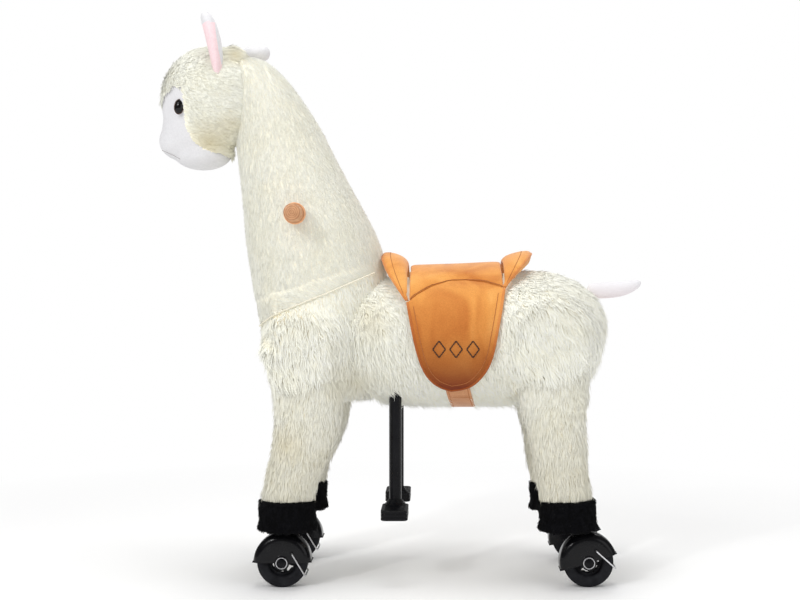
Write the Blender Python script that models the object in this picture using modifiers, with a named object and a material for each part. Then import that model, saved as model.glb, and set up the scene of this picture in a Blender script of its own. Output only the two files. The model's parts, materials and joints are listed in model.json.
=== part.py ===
"""Walking ride-on alpaca: a plush animal on a steel frame, with spreading legs, steering and one-way wheels.

Metres, +Z up. The animal faces -X and its left side is -Y. The origin is on the floor under the middle of the
object's box. Every moving body has an empty on its joint's axis, and its pieces are children of that empty.
"""
import bpy
import bmesh
from math import acos, atan2, cos, pi, radians, sin, tan
from mathutils import Matrix, Vector

# Overall places, along X from the middle of the object and up from the floor
WHEEL_RADIUS = 0.032
WHEELBASE = 0.386
FRONT_AXLE_X = -0.1464
TRACK_HALF = 0.082
STEER_SETBACK = 0.0167
HIP_ADVANCE = 0.0548
REAR_AXLE_X = FRONT_AXLE_X + WHEELBASE
STEER_X = FRONT_AXLE_X + STEER_SETBACK
HIP_X = REAR_AXLE_X - HIP_ADVANCE

# Heights, each on the one below it, so that a longer leg lifts all that it carries
BELLY_HEIGHT = 0.2217
CROSSBAR_RISE = 0.0213
SHOULDER_RISE = 0.0585
HIP_RISE = 0.0135
SPINE_RISE = 0.060
SPINE_COVER = 0.026
HANDLE_RISE = 0.070
CROWN_RISE = 0.219
CROSSBAR_HEIGHT = BELLY_HEIGHT + CROSSBAR_RISE
SHOULDER_HEIGHT = CROSSBAR_HEIGHT + SHOULDER_RISE
HIP_HEIGHT = SHOULDER_HEIGHT + HIP_RISE
SPINE_HEIGHT = HIP_HEIGHT + SPINE_RISE
BACK_HEIGHT = SPINE_HEIGHT + SPINE_COVER
HANDLE_HEIGHT = BACK_HEIGHT + HANDLE_RISE
CROWN_HEIGHT = HANDLE_HEIGHT + CROWN_RISE

# Angles
STEER_LIMIT = radians(15)
LEG_SWING = radians(12)
REAR_HOOD_TILT = radians(17)
EAR_LEANS = (radians(9), radians(-48))

# Clearances
GAP = 0.0003
RUNNING_GAP = 0.0004
PLUSH_GAP = 0.0012
PLUSH_CLEARANCE = 0.004
OVERRUN = 0.02

# Steel frame
TUBE_RADIUS = 0.011
FORK_HALF_WIDTH = 0.021
FORK_HALF_LENGTH = 0.016
FORK_WALL = 0.004
FORK_PLATE = 0.010
COLUMN_RADIUS = 0.0125
NECK_POST_RADIUS = 0.016
HEAD_TUBE_WALL = 0.005
HEAD_TUBE_LENGTH = 0.052
SPINE_SIZE = 0.025
COLUMN_RISE = 0.089
LEVER_DROP = 0.030
LEVER_THICKNESS = 0.004
LEVER_SETOFF = 0.005
LEVER_RADIUS = 0.008
PIN_RADIUS = 0.003
PIN_SLACK = 0.005

# Pedals
PEDAL_X = -0.005
POST_RADIUS = 0.008
POST_SPREAD = 0.055
CROSSBAR_RADIUS = 0.008
PEDAL_DROP = 0.020
FOOTREST_LENGTH = 0.060
FOOTREST_WIDTH = 0.034
FOOTREST_THICKNESS = 0.013
FOOTREST_HEIGHT = 0.092
GUIDE_SPREAD = 0.030
GUIDE_RADIUS = 0.005
SLEEVE_RADIUS = 0.0085
SLEEVE_LENGTH = 0.056
LINK_THICKNESS = 0.003
LINK_EYE = 0.012
SLEEVE_ROOM_SHARE = 1.5

# Wheels, hoods and bails
WHEEL_WIDTH = 0.024
TYRE_DEPTH = 0.0135
HUB_RADIUS = 0.008
WEB_THICKNESS = 0.008
WINDOW_RADIUS = 0.0034
WINDOW_COUNT = 6
AXLE_RADIUS = 0.004
BOLT_HEAD_RADIUS = 0.0074
BOLT_HEAD_LENGTH = 0.004
BOSS_SHARE = 1.2
HOOD_RADIUS = 0.0365
HOOD_WALL = 0.0025
HOOD_SIDE_GAP = 0.0025
WIRE_RADIUS = 0.001
WIRE_GAP = 0.001
BAIL_PIVOT_BACK = 0.0131
BAIL_PIVOT_UP = 0.0118
BAIL_ANGLE = radians(-28)

# Plush body
BODY_WIDTH = 0.230
BODY_FRONT_REACH = 0.0297
RUMP_REACH = 0.083
TURN_RADIUS = 0.112
LEG_TURN_RADIUS = 0.130

# Plush neck, head and tail
NECK_FRONT = 0.090
NECK_BASE_LIFT = 0.0133
NECK_WIDTH = 0.200
HEAD_CENTRE_X = -0.250
HEAD_DROP = 0.0615
HEAD_LENGTH = 0.140
HEAD_HEIGHT = 0.142
HEAD_WIDTH = 0.124
MUZZLE_DROP = 0.0445
MUZZLE_SETFORWARD = 0.0180
MUZZLE_LENGTH = 0.104
MUZZLE_HEIGHT = 0.100
MUZZLE_WIDTH = 0.092
EYE_LENGTH = 0.0115
EYE_HEIGHT = 0.0185
EYE_DEPTH = 0.009
EAR_LENGTH = 0.092
EAR_WIDTH = 0.036
EAR_PAD = 0.020
TAIL_LENGTH = 0.0764
TAIL_HEIGHT_SHARE = 0.85
TAIL_THICKNESS = 0.022

# Legs
LEG_THICKNESS = 0.094
REAR_LEG_THICKNESS = 0.110
LEG_REAR_REACH = 0.084
POCKET_CLEARANCE = 0.005
LEG_WIDTH = 0.072
LEG_FOOT_HEIGHT = 0.110
CUFF_HEIGHT = 0.0385
CUFF_LENGTH = 0.073
CUFF_HEM = 0.005

# Handlebar
HANDLE_REACH = 0.135
HANDLE_RADIUS = 0.0106
COLLAR_RADIUS = 0.0137
COLLAR_LENGTH = 0.012
COLLAR_INSET = 0.028

# Saddle
SADDLE_START = 0.012
SADDLE_END = 0.134
SEAT_PAD = 0.010
SKIRT_PAD = 0.004
SKIRT_HEM_LIFT = 0.0291
SEAM_DROP = 0.035
POMMEL_RISE = 0.027
CANTLE_RISE = 0.021
CANTLE_LENGTH = 0.040
GIRTH_WIDTH = 0.031
GIRTH_THICKNESS = 0.0025
GIRTH_PLACE_SHARE = 0.38
BOARD_THICKNESS = 0.0115
BOARD_HALF_WIDTH = 0.050

SHELL_STEPS = 14
LINK_END_STEPS = 6
LOFT_SIDES = 12
LIMB_SIDES = 10
SMALL_SIDES = 8
TURN_STEPS = 16
WHEEL_STEPS = 18

for old in list(bpy.data.objects):
    bpy.data.objects.remove(old, do_unlink=True)

parts = bpy.data.collections.new("walking_alpaca")
cutters = bpy.data.collections.new("cutters")
bpy.context.scene.collection.children.link(parts)
bpy.context.scene.collection.children.link(cutters)


def material(name, colour, roughness, metallic=0.0):
    made = bpy.data.materials.new(name)
    made.use_nodes = True
    shader = made.node_tree.nodes["Principled BSDF"]
    shader.inputs["Base Color"].default_value = (*colour, 1.0)
    shader.inputs["Roughness"].default_value = roughness
    shader.inputs["Metallic"].default_value = metallic
    return made


CREAM = material("cream_plush", (0.83, 0.80, 0.70), 0.95)
WHITE = material("white_plush", (0.86, 0.85, 0.86), 0.95)
BLACK_PLUSH = material("black_plush", (0.02, 0.02, 0.022), 0.95)
SUEDE = material("saddle_suede", (0.75, 0.33, 0.10), 0.85)
WOOD = material("handle_wood", (0.72, 0.44, 0.26), 0.55)
STEEL = material("black_steel", (0.03, 0.03, 0.03), 0.45, 0.3)
WIRE = material("plated_wire", (0.70, 0.70, 0.72), 0.25, 1.0)
GLOSS = material("gloss_black", (0.02, 0.02, 0.02), 0.2)
TYRE = material("black_tyre", (0.03, 0.03, 0.03), 0.5)
EYE = material("eye_gloss", (0.01, 0.01, 0.012), 0.05)
BOARD = material("saddle_board", (0.60, 0.45, 0.28), 0.7)


def empty(name, place, parent=None):
    made = bpy.data.objects.new(name, None)
    made.location = place
    parts.objects.link(made)
    if parent:
        made.parent = parent
        made.matrix_parent_inverse = Matrix.Translation(parent.matrix_world.translation).inverted()
    bpy.context.view_layer.update()
    return made


def keep(obj, body, skin):
    """Put a finished piece in the parts collection, with its material, under its body's empty."""
    for user in list(obj.users_collection):
        user.objects.unlink(obj)
    parts.objects.link(obj)
    obj.hide_render = False
    obj.display_type = "TEXTURED"
    obj.data.materials.clear()
    obj.data.materials.append(skin)
    if obj.type == "MESH":
        obj.data.shade_smooth()
        obj.data.set_sharp_from_angle(angle=radians(35))
    if body:
        bpy.context.view_layer.update()
        world = obj.matrix_world.copy()
        obj.parent = body
        obj.matrix_parent_inverse = body.matrix_world.inverted()
        obj.matrix_world = world
    return obj


def guide(name, mesh):
    """An object that starts as a cutter: wire display, no render."""
    obj = bpy.data.objects.new(name, mesh)
    cutters.objects.link(obj)
    obj.hide_render = True
    obj.display_type = "WIRE"
    return obj


def from_bmesh(name, bm):
    mesh = bpy.data.meshes.new(name)
    bm.to_mesh(mesh)
    bm.free()
    return guide(name, mesh)


def box(name, low, high):
    low, high = Vector(low), Vector(high)
    bm = bmesh.new()
    bmesh.ops.create_cube(bm, size=1.0)
    bmesh.ops.scale(bm, vec=high - low, verts=bm.verts)
    bmesh.ops.translate(bm, vec=(low + high) / 2, verts=bm.verts)
    return from_bmesh(name, bm)


def rod(name, start, end, radius, sides=SHELL_STEPS):
    start, end = Vector(start), Vector(end)
    bm = bmesh.new()
    bmesh.ops.create_cone(bm, cap_ends=True, segments=sides, radius1=radius, radius2=radius,
                          depth=(end - start).length)
    turn = Vector((0, 0, 1)).rotation_difference(end - start).to_matrix().to_4x4()
    bmesh.ops.transform(bm, matrix=Matrix.Translation((start + end) / 2) @ turn, verts=bm.verts)
    return from_bmesh(name, bm)


def combine(obj, tool, operation="DIFFERENCE"):
    step = obj.modifiers.new(tool.name, "BOOLEAN")
    step.operation = operation
    step.solver = "EXACT"
    step.object = tool
    return obj


def cut(obj, *tools):
    for tool in tools:
        combine(obj, tool)
    return obj


def turned(name, profile, centre, steps=TURN_STEPS, ring=True):
    """A profile of (radius, offset) turned about the Y line through centre.

    The profile is a closed ring, or open with its ends on the axis.
    """
    mesh = bpy.data.meshes.new(name)
    bm = bmesh.new()
    points = [bm.verts.new((radius, 0, offset)) for radius, offset in profile]
    for first, second in zip(points, points[1:] + points[:1] if ring else points[1:]):
        bm.edges.new((first, second))
    bm.to_mesh(mesh)
    bm.free()
    obj = guide(name, mesh)
    obj.location = centre
    obj.rotation_euler = (-pi / 2, 0, 0)
    screw = obj.modifiers.new("turn", "SCREW")
    screw.steps = steps
    screw.render_steps = steps
    screw.use_merge_vertices = True
    screw.merge_threshold = GAP / 10
    return obj


def prism(name, outline, side_from, side_to):
    """A flat XZ outline, extruded along Y between two places, as a mesh cutter."""
    curve = bpy.data.curves.new(name, "CURVE")
    curve.dimensions = "2D"
    curve.fill_mode = "BOTH"
    curve.extrude = abs(side_to - side_from) / 2
    spline = curve.splines.new("POLY")
    spline.points.add(len(outline) - 1)
    for point, (across, up) in zip(spline.points, outline):
        point.co = (across, up, 0, 1)
    spline.use_cyclic_u = True
    drawn = bpy.data.objects.new(name + "_curve", curve)
    cutters.objects.link(drawn)
    drawn.rotation_euler = (pi / 2, 0, 0)
    drawn.location = (0, (side_from + side_to) / 2, 0)
    bpy.context.view_layer.update()
    mesh = bpy.data.meshes.new_from_object(drawn.evaluated_get(bpy.context.evaluated_depsgraph_get()))
    mesh.transform(drawn.matrix_world)
    bm = bmesh.new()
    bm.from_mesh(mesh)
    bmesh.ops.remove_doubles(bm, verts=bm.verts, dist=GAP / 10)
    bmesh.ops.recalc_face_normals(bm, faces=bm.faces)
    bm.to_mesh(mesh)
    bm.free()
    bpy.data.objects.remove(drawn, do_unlink=True)
    return guide(name, mesh)


def swollen(name, stations, side=0.0, grow=(0.0, 0.0), sides=LOFT_SIDES, level_rings=False):
    """A stuffed form: rings at (x, z, half thickness, half width) along a line, closed by its two end points.

    The cage starts as a sphere whose rings move to the stations, and Subdivision Surface rounds it. grow adds
    to the thickness and to the width. Rings lie square to the line, or level.
    """
    rings = len(stations) - 2
    swell = 1 / cos(pi / sides)
    bm = bmesh.new()
    bmesh.ops.create_uvsphere(bm, u_segments=sides, v_segments=rings + 1, radius=1.0)
    for vert in bm.verts:
        level = round(acos(max(-1.0, min(1.0, vert.co.z))) / pi * (rings + 1))
        angle = atan2(vert.co.y, vert.co.x)
        x, z, thick, wide = stations[level]
        before = stations[max(level - 1, 0)]
        after = stations[min(level + 1, rings + 1)]
        along = Vector((after[0] - before[0], 0, after[1] - before[1])).normalized()
        if level_rings:
            along = Vector((0, 0, 1 if along.z > 0 else -1))
        out = Vector((-along.z, 0, along.x))
        if level in (0, rings + 1):
            direction = 1 if level else -1
            vert.co = Vector((x, side, z)) + along * direction * grow[0]
        else:
            vert.co = (Vector((x, side, z)) + out * (thick + grow[0]) * swell * cos(angle)
                       + Vector((0, 1, 0)) * (wide + grow[1]) * swell * sin(angle))
    obj = from_bmesh(name, bm)
    smooth = obj.modifiers.new("stuffing", "SUBSURF")
    smooth.levels = 1
    smooth.render_levels = 1
    return obj


def turn_xz(across, up, angle):
    """A place in the XZ plane turned from +X towards +Z."""
    return across * cos(angle) - up * sin(angle), across * sin(angle) + up * cos(angle)


# Bodies: one empty on each joint's axis
frame = empty("frame", (0, 0, 0))
steering = empty("steering", (STEER_X, 0, SHOULDER_HEIGHT))
front_legs = empty("front_legs", (STEER_X, 0, SHOULDER_HEIGHT), steering)
rear_legs = empty("rear_legs", (HIP_X, 0, HIP_HEIGHT))
pedals = empty("pedals", (PEDAL_X, 0, CROSSBAR_HEIGHT))
front_link = empty("front_link", (PEDAL_X, 0, CROSSBAR_HEIGHT), pedals)
rear_link = empty("rear_link", (PEDAL_X, 0, CROSSBAR_HEIGHT), pedals)

# Heights that follow from the frame and the plush
neck_base = BELLY_HEIGHT + NECK_BASE_LIFT
column_top = HANDLE_HEIGHT + COLUMN_RISE
skirt_hem = BELLY_HEIGHT + SKIRT_HEM_LIFT
seam_height = BACK_HEIGHT - SEAM_DROP
pommel_top = BACK_HEIGHT + POMMEL_RISE
cantle_top = BACK_HEIGHT + CANTLE_RISE
spine_top = SPINE_HEIGHT + SPINE_SIZE / 2
spine_bottom = SPINE_HEIGHT - SPINE_SIZE / 2
head_tube_top = spine_top + (HEAD_TUBE_LENGTH - SPINE_SIZE) / 2
head_tube_bottom = head_tube_top - HEAD_TUBE_LENGTH
head_tube_radius = COLUMN_RADIUS + RUNNING_GAP + HEAD_TUBE_WALL
fork_top = head_tube_bottom - PLUSH_GAP
board_top = spine_top + GAP + BOARD_THICKNESS
hood_half_width = WHEEL_WIDTH / 2 + HOOD_SIDE_GAP + HOOD_WALL
collar_start = HANDLE_REACH - COLLAR_INSET - COLLAR_LENGTH
far = BODY_WIDTH


def fork(name, x, pivot_height, top):
    """An upside-down U that holds a cross tube in two holes: the shape and the two cutters that open it."""
    low = pivot_height - FORK_HALF_LENGTH
    block = box(name, (x - FORK_HALF_LENGTH, -FORK_HALF_WIDTH, low),
                (x + FORK_HALF_LENGTH, FORK_HALF_WIDTH, top))
    inner = FORK_HALF_WIDTH - FORK_WALL
    space = box(name + "_space", (x - FORK_HALF_LENGTH - OVERRUN, -inner, low - OVERRUN),
                (x + FORK_HALF_LENGTH + OVERRUN, inner, top - FORK_PLATE))
    hole = rod(name + "_hole", (x, -far, pivot_height), (x, far, pivot_height), TUBE_RADIUS + RUNNING_GAP)
    return block, space, hole


def build_spine():
    """The welded spine: a square tube, the head tube at its front end and the hip fork under its rear end."""
    start = STEER_X + head_tube_radius - HEAD_TUBE_WALL / 2
    end = HIP_X + FORK_HALF_LENGTH - FORK_WALL
    spine = box("spine_frame", (start, -SPINE_SIZE / 2, spine_bottom), (end, SPINE_SIZE / 2, spine_top))
    combine(spine, rod("head_tube", (STEER_X, 0, head_tube_bottom), (STEER_X, 0, head_tube_top),
                       head_tube_radius, sides=20), "UNION")
    block, space, hole = fork("hip_fork", HIP_X, HIP_HEIGHT, spine_bottom + FORK_PLATE / 2)
    combine(spine, block, "UNION")
    cut(spine, space, hole, rod("head_tube_bore", (STEER_X, 0, head_tube_bottom - OVERRUN),
                                (STEER_X, 0, head_tube_top + OVERRUN), COLUMN_RADIUS + RUNNING_GAP, sides=20))
    keep(spine, frame, STEEL)
    board = box("saddle_board", (SADDLE_START, -BOARD_HALF_WIDTH, spine_top + GAP),
                (SADDLE_END, BOARD_HALF_WIDTH, board_top))
    edge = board.modifiers.new("edge", "BEVEL")
    edge.width = BOARD_THICKNESS / 4
    edge.segments = 1
    keep(board, frame, BOARD)


def build_column():
    """The steering column: the fork that carries the front legs, a bearing length and a thicker neck post."""
    shoulder = head_tube_top + PLUSH_GAP
    column = rod("steering_column", (STEER_X, 0, fork_top - FORK_PLATE / 2), (STEER_X, 0, shoulder + OVERRUN),
                 COLUMN_RADIUS, sides=20)
    post = rod("neck_post", (STEER_X, 0, shoulder), (STEER_X, 0, column_top), NECK_POST_RADIUS, sides=20)
    block, space, hole = fork("front_fork", STEER_X, SHOULDER_HEIGHT, fork_top)
    combine(column, post, "UNION")
    combine(column, block, "UNION")
    cut(column, space, hole, rod("handlebar_hole", (STEER_X, -far, HANDLE_HEIGHT),
                                 (STEER_X, far, HANDLE_HEIGHT), HANDLE_RADIUS + GAP))
    keep(column, steering, STEEL)


def build_cross_tube(name, x, z, body):
    """A leg frame's cross tube with the lever ear and pin that the toggle link pulls."""
    tube = rod(name, (x, -TRACK_HALF - TUBE_RADIUS, z), (x, TRACK_HALF + TUBE_RADIUS, z), TUBE_RADIUS)
    ear = box(name + "_ear", (x - LEVER_RADIUS, LEVER_SETOFF, z - LEVER_DROP - LEVER_RADIUS),
              (x + LEVER_RADIUS, LEVER_SETOFF + LEVER_THICKNESS, z))
    pin = rod(name + "_pin", (x, -LEVER_SETOFF, z - LEVER_DROP),
              (x, LEVER_SETOFF + LEVER_THICKNESS / 2, z - LEVER_DROP), PIN_RADIUS, sides=10)
    combine(tube, ear, "UNION")
    combine(tube, pin, "UNION")
    keep(tube, body, STEEL)


def build_link(name, ear_x, ear_z, y_centre, body):
    """A flat toggle link: an eye round the pedal crossbar and a slack eye round the lever's pin."""
    angle = atan2(ear_z - CROSSBAR_HEIGHT, ear_x - PEDAL_X)
    outline = []
    for x, z, start in ((PEDAL_X, CROSSBAR_HEIGHT, angle + pi / 2), (ear_x, ear_z, angle - pi / 2)):
        for step in range(LINK_END_STEPS + 1):
            turn = start + pi * step / LINK_END_STEPS
            outline.append((x + LINK_EYE * cos(turn), z + LINK_EYE * sin(turn)))
    bar = prism(name, outline, y_centre - LINK_THICKNESS / 2, y_centre + LINK_THICKNESS / 2)
    cut(bar, rod(f"{name}_hole", (PEDAL_X, -far, CROSSBAR_HEIGHT), (PEDAL_X, far, CROSSBAR_HEIGHT),
                 CROSSBAR_RADIUS + RUNNING_GAP))
    cut(bar, rod(f"{name}_slack_hole", (ear_x, -far, ear_z), (ear_x, far, ear_z), PIN_RADIUS + PIN_SLACK))
    keep(bar, body, STEEL)


def build_pedals():
    bar = rod("pedal_crossbar", (PEDAL_X, -POST_SPREAD + POST_RADIUS + GAP, CROSSBAR_HEIGHT),
              (PEDAL_X, POST_SPREAD - POST_RADIUS - GAP, CROSSBAR_HEIGHT), CROSSBAR_RADIUS)
    for sign in (-1, 1):
        y = sign * GUIDE_SPREAD
        sleeve = rod(f"sleeve_{sign}", (PEDAL_X, y, CROSSBAR_HEIGHT),
                     (PEDAL_X, y, CROSSBAR_HEIGHT + SLEEVE_LENGTH), SLEEVE_RADIUS)
        combine(bar, sleeve, "UNION")
    for sign in (-1, 1):
        y = sign * GUIDE_SPREAD
        cut(bar, rod(f"sleeve_bore_{sign}", (PEDAL_X, y, CROSSBAR_HEIGHT - OVERRUN),
                     (PEDAL_X, y, CROSSBAR_HEIGHT + SLEEVE_LENGTH + OVERRUN), GUIDE_RADIUS + RUNNING_GAP))
    keep(bar, pedals, STEEL)

    plate_half = POST_RADIUS + LINK_THICKNESS / 2
    plate_side = GUIDE_SPREAD + plate_half
    guide_piece = box("pedal_guide", (PEDAL_X - plate_half, -plate_side, spine_bottom - FORK_PLATE),
                      (PEDAL_X + plate_half, plate_side, spine_bottom - GAP))
    for sign in (-1, 1):
        y = sign * GUIDE_SPREAD
        bottom = CROSSBAR_HEIGHT + CROSSBAR_RADIUS + PLUSH_GAP
        rod_piece = rod(f"guide_rod_{sign}", (PEDAL_X, y, bottom),
                        (PEDAL_X, y, spine_bottom - FORK_PLATE / 2), GUIDE_RADIUS)
        combine(guide_piece, rod_piece, "UNION")
    keep(guide_piece, frame, STEEL)

    rest_top = FOOTREST_HEIGHT + FOOTREST_THICKNESS / 2
    for side_name, sign in (("left", -1), ("right", 1)):
        y = sign * POST_SPREAD
        post = rod(f"pedal_post_{side_name}", (PEDAL_X, y, rest_top + GAP),
                   (PEDAL_X, y, CROSSBAR_HEIGHT + CROSSBAR_RADIUS), POST_RADIUS, sides=16)
        keep(post, pedals, STEEL)
        inner = sign * (POST_SPREAD - POST_RADIUS - LINK_THICKNESS)
        outer = sign * (POST_SPREAD - POST_RADIUS - LINK_THICKNESS + FOOTREST_LENGTH)
        rest_half = FOOTREST_WIDTH / 2
        rest_low = (PEDAL_X - rest_half, min(inner, outer), rest_top - FOOTREST_THICKNESS)
        rest = box(f"footrest_{side_name}", rest_low, (PEDAL_X + rest_half, max(inner, outer), rest_top))
        round_edge = rest.modifiers.new("edge", "BEVEL")
        round_edge.width = FOOTREST_THICKNESS / 4
        round_edge.segments = 2
        keep(rest, pedals, GLOSS)


def build_wheel_end(where, side_name, sign, axle_x, tilt, body):
    """Hood, wheel and wire bail of one leg, all about the axle."""
    y = sign * TRACK_HALF
    centre = Vector((axle_x, y, WHEEL_RADIUS))
    tag = f"{where}_{side_name}"
    side_reach = Vector((0, hood_half_width, 0))
    inside_reach = side_reach - Vector((0, HOOD_WALL, 0))
    hood = rod(f"hood_{tag}", centre - side_reach, centre + side_reach, HOOD_RADIUS, sides=24)
    cut(hood, rod(f"hood_space_{tag}", centre - inside_reach, centre + inside_reach, HOOD_RADIUS - HOOD_WALL,
                  sides=24))
    below = box(f"hood_below_{tag}", (-HOOD_RADIUS * 2, -far, -HOOD_RADIUS * 2), (HOOD_RADIUS * 2, far, 0))
    below.data.transform(Matrix.Translation(centre) @ Matrix.Rotation(-tilt, 4, "Y"))
    cheek = rod(f"hood_boss_{tag}", centre - side_reach, centre + side_reach, BOLT_HEAD_RADIUS * BOSS_SHARE)
    cut(cheek, rod(f"boss_space_{tag}", centre - inside_reach, centre + inside_reach, HOOD_RADIUS))
    cut(hood, below)
    combine(hood, cheek, "UNION")
    past = side_reach + Vector((0, OVERRUN, 0))
    cut(hood, rod(f"hood_axle_{tag}", centre - past, centre + past, AXLE_RADIUS + RUNNING_GAP))
    shift_x, shift_z = turn_xz(BAIL_PIVOT_BACK, BAIL_PIVOT_UP, tilt)
    pivot = centre + Vector((shift_x, 0, shift_z))
    cut(hood, rod(f"bail_hole_{tag}", pivot - past, pivot + past, WIRE_RADIUS + RUNNING_GAP, sides=8))
    keep(hood, body, GLOSS)

    spin = empty(f"wheel_spin_{tag}", centre, body)
    half = WHEEL_WIDTH / 2
    web = WEB_THICKNESS / 2
    bore = AXLE_RADIUS + RUNNING_GAP
    rim = WHEEL_RADIUS - TYRE_DEPTH
    tread = WHEEL_RADIUS / cos(pi / WHEEL_STEPS)
    shoulder = tread - WEB_THICKNESS / 4
    profile = [(HUB_RADIUS, half), (HUB_RADIUS, web), (rim, web), (rim, half), (shoulder, half),
               (tread, half - WEB_THICKNESS / 3), (tread, -half + WEB_THICKNESS / 3),
               (shoulder, -half), (rim, -half), (rim, -web), (HUB_RADIUS, -web), (HUB_RADIUS, -half),
               (bore, -half), (bore, half)]
    wheel = turned(f"wheel_{tag}", profile, centre, steps=WHEEL_STEPS)
    for index in range(WINDOW_COUNT):
        angle = 2 * pi * index / WINDOW_COUNT
        reach = (HUB_RADIUS + rim) / 2
        spot = centre + Vector((reach * cos(angle), 0, reach * sin(angle)))
        cut(wheel, rod(f"window_{tag}_{index}", spot - Vector((0, half, 0)), spot + Vector((0, half, 0)),
                       WINDOW_RADIUS, sides=6))
    keep(wheel, spin, TYRE)

    bail_body = empty(f"bail_swing_{tag}", pivot, body)
    reach = WHEEL_RADIUS + WIRE_RADIUS + WIRE_GAP
    end_x, end_z = turn_xz(reach, 0, BAIL_ANGLE + tilt)
    end = centre + Vector((end_x, 0, end_z))
    outer = hood_half_width + WIRE_GAP + WIRE_RADIUS
    pin_end = hood_half_width - HOOD_WALL
    bend = WIRE_RADIUS * 2
    down = (end - pivot).normalized() * bend
    side_step = Vector((0, bend, 0))
    route = [pivot + Vector((0, -pin_end, 0)), pivot + Vector((0, -outer, 0)) + side_step / 2,
             pivot + Vector((0, -outer, 0)) + down / 2,
             end + Vector((0, -outer, 0)) - down, end + Vector((0, -outer, 0)) + side_step,
             end + Vector((0, outer, 0)) - side_step, end + Vector((0, outer, 0)) - down,
             pivot + Vector((0, outer, 0)) + down / 2, pivot + Vector((0, outer, 0)) - side_step / 2,
             pivot + Vector((0, pin_end, 0))]
    wire = bpy.data.curves.new(f"wire_bail_{tag}", "CURVE")
    wire.dimensions = "3D"
    wire.bevel_depth = WIRE_RADIUS
    wire.bevel_resolution = 2
    wire.use_fill_caps = True
    spline = wire.splines.new("POLY")
    spline.points.add(len(route) - 1)
    for point, place in zip(spline.points, route):
        point.co = (*place, 1)
    bail = bpy.data.objects.new(f"wire_bail_{tag}", wire)
    cutters.objects.link(bail)
    keep(bail, bail_body, WIRE)


def build_axle_bolt(tag, centre, body):
    """A wheel's axle: head and nut turned in one piece with the shank, outside the hood's two cheeks."""
    step = hood_half_width + GAP
    end = step + BOLT_HEAD_LENGTH
    half = [(0, end), (BOLT_HEAD_RADIUS, end), (BOLT_HEAD_RADIUS, step), (AXLE_RADIUS, step)]
    profile = half + [(radius, -offset) for radius, offset in reversed(half)]
    keep(turned(f"axle_bolt_{tag}", profile, centre, steps=12, ring=False), body, WIRE)


def leg_frame(where, pivot_x, pivot_z, axle_x, tilt, stations, body):
    """Leg tubes, plush, cuffs and wheel ends of one pair of legs."""
    top_x, top_z = turn_xz(0, HOOD_RADIUS + GAP, tilt)
    foot = Vector((axle_x + top_x, 0, WHEEL_RADIUS + top_z))
    head = Vector((pivot_x, 0, pivot_z))
    line = (foot - head).normalized()
    start = head + line * (TUBE_RADIUS + GAP)
    cuff_top = LEG_FOOT_HEIGHT - GAP
    cuff_x = foot.x + (head.x - foot.x) * (cuff_top - foot.z) / (head.z - foot.z)
    for side_name, sign in (("left", -1), ("right", 1)):
        y = sign * TRACK_HALF
        shift = Vector((0, y, 0))
        tag = f"{where}_{side_name}"
        tube = rod(f"leg_tube_{tag}", start + shift, foot + shift, TUBE_RADIUS)
        keep(tube, body, STEEL)
        channel = rod(f"leg_channel_{tag}", head + shift, foot + shift + line * OVERRUN, TUBE_RADIUS + GAP)
        cross = rod(f"cross_channel_{tag}", (pivot_x, 0, pivot_z),
                    (pivot_x, sign * (TRACK_HALF + TUBE_RADIUS + GAP), pivot_z), TUBE_RADIUS + GAP)
        plush = swollen(f"leg_plush_{tag}", stations, side=y, sides=LIMB_SIDES, level_rings=True)
        floor_box = box(f"leg_floor_{tag}", (-far, y - far, -far), (far, y + far, 0))
        lean = atan2(foot.x - head.x, head.z - foot.z)
        set_at = Matrix.Translation((cuff_x, 0, LEG_FOOT_HEIGHT))
        floor_box.data.transform(set_at @ Matrix.Rotation(-lean, 4, "Y"))
        cut(plush, floor_box, channel, cross)
        keep(plush, body, CREAM)
        cuff_start = Vector((cuff_x, y, cuff_top))
        cuff = rod(f"hoof_cuff_{tag}", cuff_start, cuff_start + line * CUFF_HEIGHT, CUFF_LENGTH / 2, sides=20)
        hem = cuff.modifiers.new("hem", "BEVEL")
        hem.width = CUFF_HEM
        hem.segments = 1
        cut(cuff, channel)
        keep(cuff, body, BLACK_PLUSH)
        build_wheel_end(where, side_name, sign, axle_x, tilt, body)
        build_axle_bolt(tag, (axle_x, y, WHEEL_RADIUS), body)


def along(start, end, share):
    return start + (end - start) * share


# The plush body: (share of its length, centre as a share of its height, half height share, half width share)
body_front = STEER_X + BODY_FRONT_REACH
body_end = HIP_X + RUMP_REACH
BODY_SHARES = [
    (0.00, 0.52, 0.00, 0.00), (0.05, 0.52, 0.36, 0.66), (0.14, 0.51, 0.47, 0.86), (0.27, 0.50, 0.50, 0.97),
    (0.45, 0.50, 0.50, 1.00), (0.62, 0.51, 0.51, 1.00), (0.77, 0.53, 0.52, 1.00), (0.88, 0.53, 0.46, 0.90),
    (0.955, 0.52, 0.34, 0.70), (0.99, 0.51, 0.19, 0.40), (1.00, 0.50, 0.00, 0.00)]


def body_form(name, grow=(0.0, 0.0)):
    height = BACK_HEIGHT - BELLY_HEIGHT
    stations = [(along(body_front, body_end, share), BELLY_HEIGHT + height * middle, height * thick,
                 BODY_WIDTH / 2 * wide) for share, middle, thick, wide in BODY_SHARES]
    return swollen(name, stations, grow=grow)


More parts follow.
